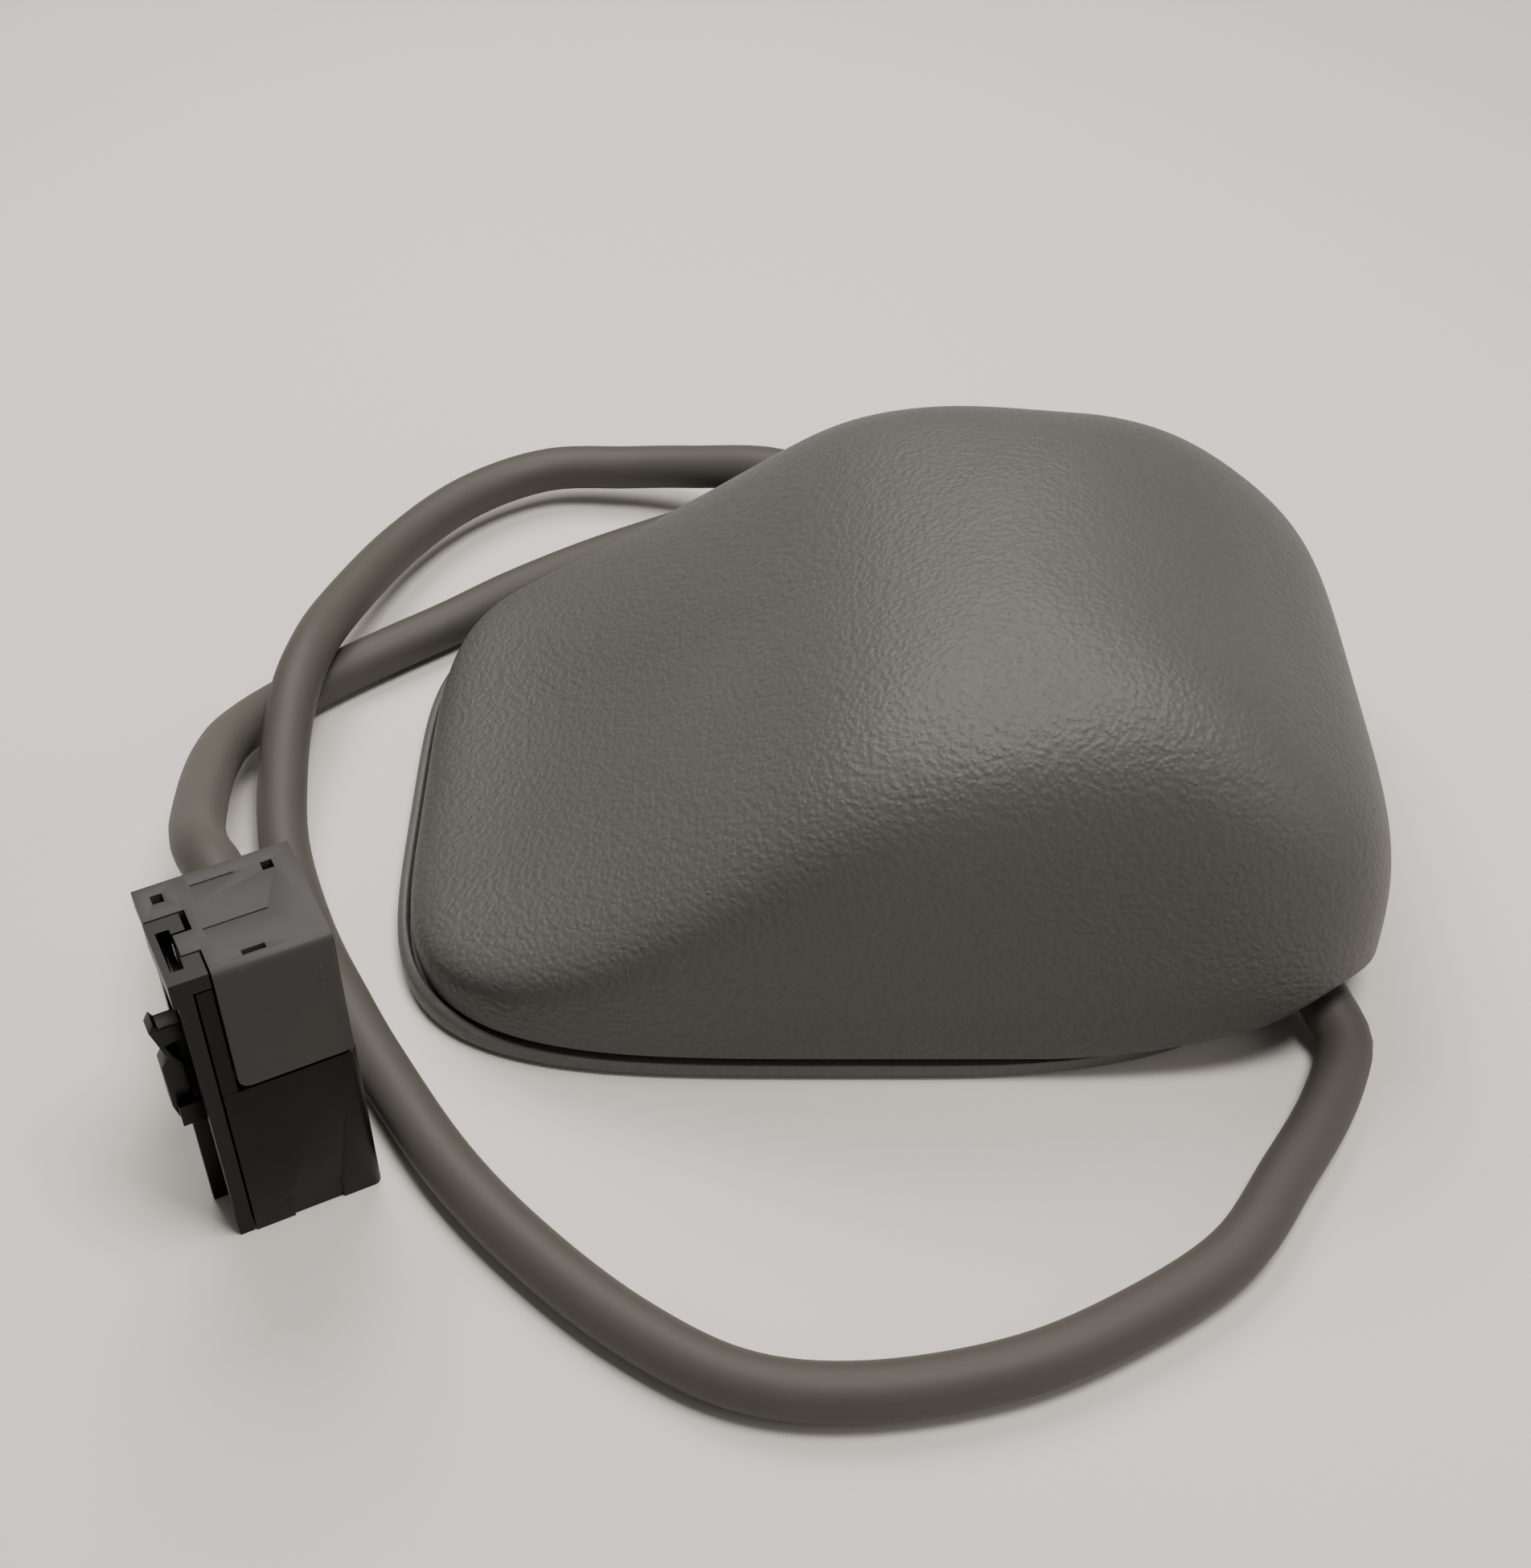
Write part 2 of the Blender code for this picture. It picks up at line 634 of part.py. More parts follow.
def make_lead(name, index, start):
    """One insulated lead from the cord's inner end over the clamp to the header."""
    colour = new_material(f"lead_{name}", LEAD_COLOURS[name], 0.45)
    aside = (index - 1.5) * 1.7 * MM
    points = [
        start + Vector((aside, aside * 0.2, 1.0 * MM)),
        Vector((56.5 * MM + aside, -20 * MM, 9.6 * MM)),
        Vector((53 * MM + aside * 0.4, -15 * MM + aside, 12.5 * MM)),
        Vector((45.5 * MM, -13.5 * MM + aside * 1.2, 15 * MM)),
        Vector((37 * MM, -11 * MM + aside * 1.3, 18.2 * MM)),
        Vector((31.5 * MM, -5 * MM + aside * 1.7, 19.6 * MM)),
        Vector((28.6 * MM, aside * 2.0, 18.4 * MM)),
        Vector((28.5 * MM, aside * 2.0, 13 * MM)),
    ]
    tube(f"lead_{name}", smooth_through(points, 16), 0.6 * MM, colour, 1)


def plug_place():
    return Matrix.Translation(PLUG_CORNER) @ Matrix.Rotation(PLUG_TURN, 4, "Z")


def plug_point(a, n, z):
    return plug_place() @ Vector((a, n, z))


def plug_box(name, low, high, material):
    thing = add_object(name, box_mesh(name, Vector(low) * MM, Vector(high) * MM), material, smooth=False)
    thing.matrix_world = plug_place()
    return thing


def make_plug_housing(material):
    place = plug_place()
    housing = plug_box("plug_housing", (0.0, 0.4, 0.0), (18.2, 18.1, 29.0), material)
    join_box(housing, "housing_neck", Vector((1.2, 2.2, 25)) * MM, Vector((16.2, 16.2, 34)) * MM, place)
    join_box(housing, "housing_column", Vector((0.0, 0.6, 28)) * MM, Vector((2.1, 12.2, 48.9)) * MM, place)
    cut_box(housing, "contact_well", Vector((2.0, 2.4, -1)) * MM, Vector((16.2, 16.0, 24)) * MM, place)
    cut_box(housing, "wire_well", Vector((4.0, 4.6, 20)) * MM, Vector((14.2, 14.0, 40)) * MM, place)
    edge = housing.modifiers.new("edges", "BEVEL")
    edge.width = 0.5 * MM
    edge.segments = 1
    edge.limit_method = "ANGLE"
    edge.angle_limit = math.radians(60)
    return housing


LATCH_PIVOT = Vector((-4.5, 6.2, 24.5)) * MM

# Ribs of the coding rail, on the plug's heel side: n from, n to, reach outwards, top (mm)
RAIL_RIBS = ((0.6, 2.6, 2.3, 48.6), (4.6, 7.0, 2.0, 46.0), (8.0, 9.4, 3.9, 37.0), (11.4, 13.4, 2.6, 46.0))


def make_plug_rail(material):
    """Black side plate of the housing: coding ribs, and the loop that the hood snaps into."""
    place = plug_place()
    rail = plug_box("plug_side_rail", (-1.3, 0.6, 0.0), (-0.3, 13.4, 48.6), material)
    for i, (start, end, reach, top) in enumerate(RAIL_RIBS):
        low = Vector((-reach, start, 0.0)) * MM
        high = Vector((-0.9, end, top)) * MM
        join_box(rail, f"coding_rib_{i}", low, high, place)
    join_box(rail, "loop_bar", Vector((-3.0, 0.6, 47.5)) * MM, Vector((-0.3, 12.2, 51.8)) * MM, place)
    join_box(rail, "loop_arm_low", Vector((-1.0, 0.6, 49.2)) * MM, Vector((2.1, 4.7, 51.8)) * MM, place)
    join_box(rail, "loop_arm_high", Vector((-1.0, 9.1, 49.2)) * MM, Vector((1.6, 12.2, 51.8)) * MM, place)
    for i, n in enumerate((LATCH_PIVOT.y / MM - 2.7, LATCH_PIVOT.y / MM + 1.7)):
        low = Vector((-5.4, n, 22.6)) * MM
        join_box(rail, f"latch_ear_{i}", low, Vector((-1.0, n + 1.0, 26.4)) * MM, place)
    start = LATCH_PIVOT - Vector((0, 2.2 * MM, 0))
    end = LATCH_PIVOT + Vector((0, 2.2 * MM, 0))
    join_rod(rail, "latch_pin", start, end, 0.6 * MM, place)
    cut_box(rail, "loop_slot", Vector((-2.0, 2.8, 47.4)) * MM, Vector((-0.2, 10.0, 53)) * MM, place)
    return rail


def make_plug_hood(material):
    place = plug_place()
    low = (HOOD_LEFT / MM, 0.0, HOOD_BOTTOM / MM)
    hood = plug_box("plug_hood", low, (HOOD_RIGHT / MM, HOOD_DEPTH / MM, PLUG_HEIGHT / MM), material)
    join_box(hood, "hood_shoulder", Vector((-2.8, 12.5, 48.9)) * MM,
             Vector((4.0, HOOD_DEPTH / MM, PLUG_HEIGHT / MM)) * MM, place)
    join_box(hood, "hood_tongue", Vector((-0.1, 5.0, 49.2)) * MM, Vector((4.0, 8.8, 51.8)) * MM, place)
    join_box(hood, "hood_side", Vector((0.3, 12.5, 34.6)) * MM, Vector((4.0, 18.4, 48)) * MM, place)
    cut_box(hood, "hood_inside", Vector((3.9, 1.6, 20)) * MM, Vector((16.5, 16.8, 50.2)) * MM, place)
    cut_box(hood, "hood_neck_room", Vector((-0.2, 1.8, 20)) * MM, Vector((16.6, 16.7, 34.3)) * MM, place)
    start = Vector((CABLE_A, HOOD_DEPTH - 1 * MM, CABLE_Z))
    end = Vector((CABLE_A, HOOD_DEPTH + 4 * MM, CABLE_Z))
    join_rod(hood, "hood_collar", start, end, 6.4 * MM, place)
    start = Vector((CABLE_A, 10 * MM, CABLE_Z))
    end = Vector((CABLE_A, HOOD_DEPTH + 6 * MM, CABLE_Z))
    cut_rod(hood, "hood_cable_bore", start, end, 5.0 * MM, place)
    for i, (a, n) in enumerate(((-0.1, 15.8), (14.2, 15.5))):
        low = Vector((a - 0.75, n - 0.75, 46)) * MM
        cut_box(hood, f"hood_pocket_{i}", low, Vector((a + 0.75, n + 0.75, 53)) * MM, place)
    cut_box(hood, "hood_slot", Vector((6.8, 1.75, 50.9)) * MM, Vector((9.8, 2.6, 53)) * MM, place)
    return hood


def make_plug_inner(materials):
    dark, brass, rubber = materials
    place = plug_place()
    carrier = plug_box("contact_carrier", (2.4, 2.8, 0.6), (15.8, 15.6, 19.4), dark)
    for column in range(3):
        for line in range(2):
            a = (4.9 + 4.2 * column) * MM
            n = (6.0 + 6.4 * line) * MM
            tag = column * 2 + line + 1
            cut_rod(carrier, f"contact_hole_{tag}", Vector((a, n, -1 * MM)), Vector((a, n, 22 * MM)),
                    1.3 * MM, place)
            pin = rod_mesh(f"contact_{tag}", (a, n, 1.6 * MM), (a, n, 18.4 * MM), 1.0 * MM, sides=12)
            contact = add_object(f"contact_{tag}", pin, brass)
            contact.matrix_world = place
    start = Vector((CABLE_A, HOOD_DEPTH - 1.5 * MM, CABLE_Z))
    end = Vector((CABLE_A, HOOD_DEPTH + 5.2 * MM, CABLE_Z))
    bush = add_object("cable_bush", rod_mesh("cable_bush", start, end, 4.6 * MM), rubber)
    bush.matrix_world = place


def make_plug_latch(material):
    """Sprung latch finger outside the rail, hinged at its lower end, hook at the top."""
    outline = [(1.0, -1.4), (-1.0, -1.4), (-1.5, 1.0), (-1.5, 8.7), (-0.5, 10.4), (-1.9, 15.8), (-1.1, 17.2),
               (-0.6, 16.1), (2.2, 16.1), (2.2, 13.0), (-0.3, 12.6), (0.4, 10.4), (1.3, 8.7), (1.5, 1.0)]
    rim = [(x * MM, y * MM) for x, y in outline]
    turn = Matrix.Rotation(math.radians(90), 4, "X")
    bore = circle((0, 0), 0.9 * MM, 16)
    latch = plate("plug_latch", [rim, bore], 2.8 * MM, Matrix.Identity(4), material)
    latch.matrix_world = plug_place() @ Matrix.Translation(LATCH_PIVOT) @ turn
    return latch


# The cord's route from the strain relief round the front, up the heel side, over itself,
# round behind the body and back under itself to the plug (mm)
CORD_ROUTE = (
    (66.6, -48.9, 4.6), (65.0, -54.5, 4.2), (61.0, -62.5, 4.2),
    (54.9, -71.8, 4.2), (45.1, -85.6, 4.2), (30.2, -96.0, 4.2), (14.3, -103.2, 4.2), (-4.9, -106.7, 4.2),
    (-20.9, -105.1, 4.2), (-35.4, -97.2, 4.2), (-49.7, -85.0, 4.2), (-62.1, -71.1, 4.2),
    (-73.3, -54.1, 4.2), (-80.6, -41.4, 4.2), (-88.1, -26.7, 4.2), (-94.3, -9.5, 5.0),
    (-96.3, 5.4, 8.4), (-96.2, 17.5, 11.8), (-94.9, 28.5, 12.8), (-92.2, 42.6, 10.8), (-84.4, 65.1, 7.6),
    (-73.5, 80.4, 7.0), (-59.5, 89.0, 7.0), (-44.2, 89.0, 7.6), (-31.9, 86.4, 9.6), (-16.0, 81.0, 12.8),
    (-4.0, 74.6, 11.0), (8.0, 67.4, 7.0), (21.0, 61.8, 4.6), (36.0, 60.8, 4.2), (47.5, 67.0, 4.2),
    (51.0, 78.0, 4.2), (45.0, 88.6, 4.2), (32.0, 94.4, 4.2), (15.0, 93.6, 4.2), (0.0, 89.0, 4.2),
    (-16.0, 82.0, 4.2), (-32.0, 74.4, 4.2), (-48.9, 65.2, 4.2), (-63.0, 55.7, 4.2), (-73.8, 46.9, 4.2),
    (-83.6, 39.6, 4.2), (-92.2, 32.8, 4.2), (-99.4, 25.9, 4.6), (-103.8, 18.0, 6.8), (-105.4, 8.6, 11.0),
    (-104.9, -2.0, 16.2), (-103.4, -12.8, 21.6), (-101.4, -23.4, 27.0), (-99.0, -33.6, 32.4),
)


def make_cord(material):
    along = (RELIEF_END - RELIEF_START).normalized()
    points = [RELIEF_END + along * GAP, RELIEF_END + along * 6 * MM]
    points += [Vector(point) * MM for point in CORD_ROUTE]
    outside = HOOD_DEPTH + 5.2 * MM
    points.append(plug_point(CABLE_A - 0.3 * MM, outside + 13 * MM, CABLE_Z - 1.8 * MM))
    points.append(plug_point(CABLE_A, outside + 7 * MM, CABLE_Z))
    points.append(plug_point(CABLE_A, outside + GAP, CABLE_Z))
    return tube("cord", smooth_through(points, CORD_POINTS), CORD_RADIUS, material)


def main():
    grey = new_material("shell_grey", (0.150, 0.148, 0.140), 0.48)
    rim_grey = new_material("tray_grey", (0.135, 0.138, 0.140), 0.50)
    rubber = new_material("rubber", (0.02, 0.02, 0.02), 0.85)
    steel = new_material("steel", (0.55, 0.55, 0.55), 0.30, 1.0)
    zinc = new_material("zinc_plate", (0.60, 0.60, 0.58), 0.35, 1.0)
    spring = new_material("spring_steel", (0.40, 0.40, 0.42), 0.28, 1.0)
    board = new_material("circuit_laminate", (0.02, 0.12, 0.05), 0.45)
    dark = new_material("black_moulding", (0.015, 0.015, 0.015), 0.50)
    cream = new_material("cream_moulding", (0.70, 0.66, 0.55), 0.50)
    pom = new_material("white_acetal", (0.75, 0.75, 0.72), 0.40)
    red = new_material("red_plunger", (0.50, 0.03, 0.03), 0.45)
    cord = new_material("cord_jacket", (0.205, 0.190, 0.165), 0.62)
    hood = new_material("hood_grey", (0.085, 0.085, 0.090), 0.45)
    black = new_material("plug_black", (0.010, 0.010, 0.010), 0.42)
    brass = new_material("brass", (0.70, 0.50, 0.20), 0.30, 1.0)
    make_tread_shell(grey)
    make_base_tray(rim_grey)
    make_feet(rubber)
    make_pivot_pin(steel)
    make_clips(dark)
    make_springs(spring)
    make_stops(rubber)
    make_board(board)
    make_board_pieces((steel, dark, cream, zinc))
    make_drive_sector(pom)
    make_sensor((pom, dark, steel))
    make_heel_switch((dark, red))
    make_cord_entry((rubber, steel, dark))
    make_plug_housing(black)
    make_plug_rail(black)
    make_plug_hood(hood)
    make_plug_inner((dark, brass, rubber))
    make_plug_latch(black)
    make_cord(cord)


clear_scene()
PARTS = new_collection("sewing_machine_pedal")
CUTTERS = new_collection("cutters")
main()
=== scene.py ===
"""Foot control of a sewing machine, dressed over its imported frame.

A rocking shell of grained grey plastic stands on a thin base. A round cord leaves the toe end,
runs round the front, over itself behind the heel, and back to a block plug that stands upright.
"""

import math

import bmesh
import bpy
from mathutils import Matrix, Vector


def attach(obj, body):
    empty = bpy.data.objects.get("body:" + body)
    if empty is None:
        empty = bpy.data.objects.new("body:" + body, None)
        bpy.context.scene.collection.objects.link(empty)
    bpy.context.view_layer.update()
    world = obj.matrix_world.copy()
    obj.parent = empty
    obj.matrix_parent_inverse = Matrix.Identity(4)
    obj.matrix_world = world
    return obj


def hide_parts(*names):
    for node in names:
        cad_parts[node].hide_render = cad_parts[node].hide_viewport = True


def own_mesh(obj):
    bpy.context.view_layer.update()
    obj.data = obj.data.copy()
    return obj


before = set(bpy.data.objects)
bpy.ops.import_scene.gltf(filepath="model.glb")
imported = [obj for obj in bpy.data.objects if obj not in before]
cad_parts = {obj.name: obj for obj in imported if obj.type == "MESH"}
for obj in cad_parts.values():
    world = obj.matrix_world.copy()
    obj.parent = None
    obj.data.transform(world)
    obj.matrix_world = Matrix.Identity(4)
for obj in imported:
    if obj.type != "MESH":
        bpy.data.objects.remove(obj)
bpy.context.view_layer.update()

bl_info = {
    "name": "Sewing Machine Foot Control",
    "version": (1, 0, 0),
    "blender": (4, 5, 0),
    "location": "View3D > Sidebar > Foot Control",
    "description": "Builds a sewing machine's foot control with its cord and plug",
    "category": "Object",
}

MM = 0.001

# Tread shell: the same surface as the frame's
SHELL_LEFT = 73.1 * MM
SHELL_RIGHT = 75.1 * MM
HALF_WIDTH = 53.0 * MM
SHELL_WALL = 2.4 * MM
PLAN_POWER_LEFT = 4.2
PLAN_POWER_RIGHT = 5.0
SIDE_POWER_LEFT = 6.6
SIDE_POWER_RIGHT = 3.3
END_POWER_LEFT = 3.0
EDGE_LOW = 5.0 * MM
EDGE_HIGH = 9.8 * MM
CORD_ARCH = Vector((66 * MM, -46 * MM))
CORD_ARCH_RISE = 4.2 * MM
CORD_ARCH_SPREAD = 10.0 * MM
SCOOP_DEPTH = 3.2 * MM
SCOOP_CENTRE = 30.0 * MM
SCOOP_SPREAD = 30.0 * MM
PROFILE_BLEND = 5.0 * MM
TREAD_PROFILE = (
    (-75, 16.6), (-60, 17.4), (-45, 23.6), (-24, 38.5), (-6, 52.6), (12, 59.6),
    (30, 61.8), (48, 58.6), (62, 53.2), (76, 50.5),
)
SHELL_POSTS = (
    (42.0, 0.0, 25.6, 6.0),
    (-52.0, 0.0, 12.4, 5.0),
    (57.0, 24.0, 13.6, 4.0),
    (61.0, -5.0, 13.6, 4.0),
    (-60.0, 26.0, 7.9, 3.5),
    (-60.0, -26.0, 7.9, 3.5),
    (-38.0, -20.0, 12.1, 3.0),
)
PIVOT_HEIGHT = 16.0
RIB_Y = 27.0 * MM
UPRIGHT_Y = 34.0 * MM
BOARD_CORNERS = ((9.0, -19.0), (9.0, 19.0), (32.0, -19.0), (32.0, 19.0))
FOOT_PLACES = ((-58.0, -34.0), (-58.0, 34.0), (44.0, -32.0), (44.0, 32.0))

# Base pan: plan reaches in mm, and its section as (inset, height) from the underside round the rim
BASE_LEFT = 75.5
BASE_RIGHT = 66.0
BASE_HALF_WIDTH = 52.8
BASE_POWER_LEFT = 4.3
BASE_POWER_RIGHT = 3.0
BASE_TOP = 3.3
BASE_SECTION = (
    (1.4, 0.8), (0.4, 0.8), (0.1, 1.0), (0.0, 1.4), (0.0, 3.2), (0.15, 4.2), (0.5, 4.8),
    (1.0, 5.1), (1.5, 4.95), (1.8, 4.4), (1.95, 3.3), (6.0, 3.3),
)

# Return spring under the toe (mm): centre, coil radius, wire radius, lowest and highest wire centre, turns
SPRING_X = 42.0
SPRING_RADIUS = 5.0
SPRING_WIRE = 0.7
SPRING_LOW = 4.6
SPRING_HIGH = 24.6
SPRING_TURNS = 6

# Plug: stands on its mating face, turned about the upright
PLUG_CORNER = Vector((-87.8, -79.3, 0.0)) * MM
PLUG_TURN = math.radians(26.5)
HOOD_DEPTH = 18.5
CABLE_A = 9.6
CABLE_Z = 39.0
LATCH_PIVOT = Vector((-4.5, 6.2, 24.5)) * MM
RELIEF_START = Vector((59.2, -26.0, 7.9)) * MM
RELIEF_END = Vector((63.0, -37.3, 6.3)) * MM
GAP = 0.3 * MM
HOOD_TOP = 51.8
COLLAR_RADIUS = 6.4
# Side plate's ribs (mm): from and to across the plate, reach outwards, top
RAIL_RIBS = (
    (0.6, 2.6, 2.3, 48.6), (4.6, 7.0, 2.0, 46.0), (8.0, 9.4, 3.9, 37.0), (11.4, 13.4, 2.6, 46.0),
)
LATCH_OUTLINE = (
    (1.0, -1.4), (-1.0, -1.4), (-1.5, 1.0), (-1.5, 8.7), (-0.5, 10.4), (-1.9, 15.8), (-1.1, 17.2),
    (-0.6, 16.1), (2.2, 16.1), (2.2, 13.0), (-0.3, 12.6), (0.4, 10.4), (1.3, 8.7), (1.5, 1.0),
)
LATCH_BORE = 0.9

# Insulation colours of the leads inside the body
LEADS = {
    "red": (0.45, 0.02, 0.02),
    "white": (0.75, 0.75, 0.72),
    "blue": (0.03, 0.08, 0.40),
    "yellow": (0.70, 0.50, 0.05),
}

# The cord's route, the same as the frame's (mm)
CORD_ROUTE = (
    (66.6, -48.9, 4.6), (65.0, -54.5, 4.2), (61.0, -62.5, 4.2),
    (54.9, -71.8, 4.2), (45.1, -85.6, 4.2), (30.2, -96.0, 4.2), (14.3, -103.2, 4.2), (-4.9, -106.7, 4.2),
    (-20.9, -105.1, 4.2), (-35.4, -97.2, 4.2), (-49.7, -85.0, 4.2), (-62.1, -71.1, 4.2),
    (-73.3, -54.1, 4.2), (-80.6, -41.4, 4.2), (-88.1, -26.7, 4.2), (-94.3, -9.5, 5.0),
    (-96.3, 5.4, 8.4), (-96.2, 17.5, 11.8), (-94.9, 28.5, 12.8), (-92.2, 42.6, 10.8), (-84.4, 65.1, 7.6),
    (-73.5, 80.4, 7.0), (-59.5, 89.0, 7.0), (-44.2, 89.0, 7.6), (-31.9, 86.4, 9.6), (-16.0, 81.0, 12.8),
    (-4.0, 74.6, 11.0), (8.0, 67.4, 7.0), (21.0, 61.8, 4.6), (36.0, 60.8, 4.2), (47.5, 67.0, 4.2),
    (51.0, 78.0, 4.2), (45.0, 88.6, 4.2), (32.0, 94.4, 4.2), (15.0, 93.6, 4.2), (0.0, 89.0, 4.2),
    (-16.0, 82.0, 4.2), (-32.0, 74.4, 4.2), (-48.9, 65.2, 4.2), (-63.0, 55.7, 4.2), (-73.8, 46.9, 4.2),
    (-83.6, 39.6, 4.2), (-92.2, 32.8, 4.2), (-99.4, 25.9, 4.6), (-103.8, 18.0, 6.8), (-105.4, 8.6, 11.0),
    (-104.9, -2.0, 16.2), (-103.4, -12.8, 21.6), (-101.4, -23.4, 27.0), (-99.0, -33.6, 32.4),
)

# Camera
CAMERA_PLACE = Vector((-18.0, -261.0, 258.87)) * MM
CAMERA_DOWN = math.radians(43.68)
CAMERA_LENS = 51.69


# ---------------------------------------------------------------- modelling helpers

def deselect():
    if bpy.context.object is not None and bpy.context.object.mode != "OBJECT":
        bpy.ops.object.mode_set(mode="OBJECT")
    bpy.ops.object.select_all(action="DESELECT")


def take(thing):
    """Make thing the only selected and active object."""
    deselect()
    thing.select_set(True)
    bpy.context.view_layer.objects.active = thing
    return thing


def new_piece(name):
    """Name the primitive that an operator has just added."""
    thing = bpy.context.object
    thing.name = name
    thing.data.name = name
    return thing


def settle(thing):
    """Put a piece's place, turn and scale into its mesh."""
    take(thing)
    bpy.ops.object.transform_apply(location=True, rotation=True, scale=True)
    return thing


def put(thing, matrix):
    """Move a finished mesh to its place and settle it there."""
    thing.matrix_world = matrix @ thing.matrix_world
    return settle(thing)


def apply_modifier(thing, kind, **settings):
    take(thing)
    step = thing.modifiers.new(kind.lower(), kind)
    for key, value in settings.items():
        setattr(step, key, value)
    bpy.ops.object.modifier_apply(modifier=step.name)
    return thing


def block(name, low, high):
    """A box between two corners, in millimetres."""
    deselect()
    low = Vector(low) * MM
    high = Vector(high) * MM
    bpy.ops.mesh.primitive_cube_add(size=1, location=(low + high) / 2)
    thing = new_piece(name)
    thing.scale = high - low
    return settle(thing)


def rod(name, start, end, radius, sides=32):
    """A round bar between two points in metres."""
    deselect()
    along = Vector(end) - Vector(start)
    bpy.ops.mesh.primitive_cylinder_add(
        vertices=sides, radius=radius, depth=along.length,
        location=(Vector(start) + Vector(end)) / 2, rotation=along.to_track_quat("Z", "Y").to_euler(),
    )
    return settle(new_piece(name))


def turned(name, profile, sides=48):
    """A round piece about the upright: a disc is drawn out ring by ring along (radius, height)."""
    deselect()
    bpy.ops.mesh.primitive_circle_add(vertices=sides, radius=1.0, fill_type="NGON")
    thing = new_piece(name)
    take(thing)
    bpy.ops.object.mode_set(mode="EDIT")
    bpy.ops.mesh.select_all(action="SELECT")
    for _ in profile[1:]:
        bpy.ops.mesh.extrude_region_move(TRANSFORM_OT_translate={"value": (0, 0, 1)})
    bpy.ops.object.mode_set(mode="OBJECT")
    rings = {}
    for vertex in thing.data.vertices:
        rings.setdefault(round(vertex.co.z), []).append(vertex)
    for level, (radius, height) in enumerate(profile):
        for vertex in rings[level]:
            vertex.co = (vertex.co.x * radius * MM, vertex.co.y * radius * MM, height * MM)
    return outward(thing)


def outward(thing, weld=0.000001):
    """Merge doubles and turn all faces outwards."""
    take(thing)
    bpy.ops.object.mode_set(mode="EDIT")
    bpy.ops.mesh.select_all(action="SELECT")
    bpy.ops.mesh.remove_doubles(threshold=weld)
    bpy.ops.mesh.normals_make_consistent(inside=False)
    bpy.ops.object.mode_set(mode="OBJECT")
    return thing


def combine(thing, tool, operation):
    """Cut tool away from thing, or join it on, and use tool up."""
    apply_modifier(thing, "BOOLEAN", operation=operation, solver="EXACT", object=tool)
    bpy.data.objects.remove(tool, do_unlink=True)
    return thing


def add_block(thing, low, high):
    """Join on a box between two corners, in millimetres."""
    return combine(thing, block("added", low, high), "UNION")


def cut_block(thing, low, high):
    """Cut away a box between two corners, in millimetres."""
    return combine(thing, block("cutter", low, high), "DIFFERENCE")


def merged(name, things):
    """Several meshes as one piece."""
    deselect()
    for thing in things:
        thing.select_set(True)
    bpy.context.view_layer.objects.active = things[0]
    bpy.ops.object.join()
    things[0].name = name
    things[0].data.name = name
    return things[0]


def soften(thing, width, segments=2, angle=35):
    """Round a piece's edges and shade it."""
    apply_modifier(
        thing, "BEVEL", width=width * MM, segments=segments, limit_method="ANGLE",
        angle_limit=math.radians(angle), use_clamp_overlap=True, miter_outer="MITER_ARC",
    )
    return shade(thing)


def strand(name, line, radius, rounding):
    """A round wire along points in metres, as a curve with closed ends."""
    curve = bpy.data.curves.new(name, "CURVE")
    curve.dimensions = "3D"
    curve.bevel_depth = radius
    curve.bevel_resolution = rounding
    curve.use_fill_caps = True
    spline = curve.splines.new("POLY")
    spline.points.add(len(line) - 1)
    for point, place in zip(spline.points, line):
        point.co = (*place, 1.0)
    spline.use_smooth = True
    thing = bpy.data.objects.new(name, curve)
    bpy.context.collection.objects.link(thing)
    return thing


def as_mesh(thing):
    """Turn a curve into the mesh it draws."""
    take(thing)
    bpy.ops.object.convert(target="MESH")
    return bpy.context.object


def pivot_bore(y):
    """Cutter for the cross pin's hole through a wall at y millimetres."""
    low = Vector((0, y - 9, PIVOT_HEIGHT)) * MM
    high = Vector((0, y + 9, PIVOT_HEIGHT)) * MM
    return rod("bore", low, high, 2.8 * MM)


def bevel_edges(thing, chosen, width, segments=4):
    """Round only the edges whose ends (in mm) pass the test."""
    take(thing)
    bpy.ops.object.mode_set(mode="EDIT")
    bpy.ops.mesh.select_mode(type="EDGE")
    bpy.ops.mesh.select_all(action="DESELECT")
    work = bmesh.from_edit_mesh(thing.data)
    for edge in work.edges:
        if chosen(edge.verts[0].co / MM, edge.verts[1].co / MM):
            edge.select_set(True)
    bmesh.update_edit_mesh(thing.data)
    bpy.ops.mesh.bevel(offset=width * MM, segments=segments, affect="EDGES")
    bpy.ops.object.mode_set(mode="OBJECT")
    return thing


def shade(thing, angle=35):
    take(thing)
    bpy.ops.object.shade_smooth_by_angle(angle=math.radians(angle))
    return thing


def finish_piece(thing, body, node, material):
    """Give a piece its material and the body it rides on, and hide the CAD node it stands for."""
    thing.data.materials.clear()
    thing.data.materials.append(material)
    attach(thing, body)
    if node is not None:
        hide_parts(node)
    return thing


def smooth_step(value, low, high):
    share = min(max((value - low) / (high - low), 0.0), 1.0)
    return share * share * (3 - 2 * share)


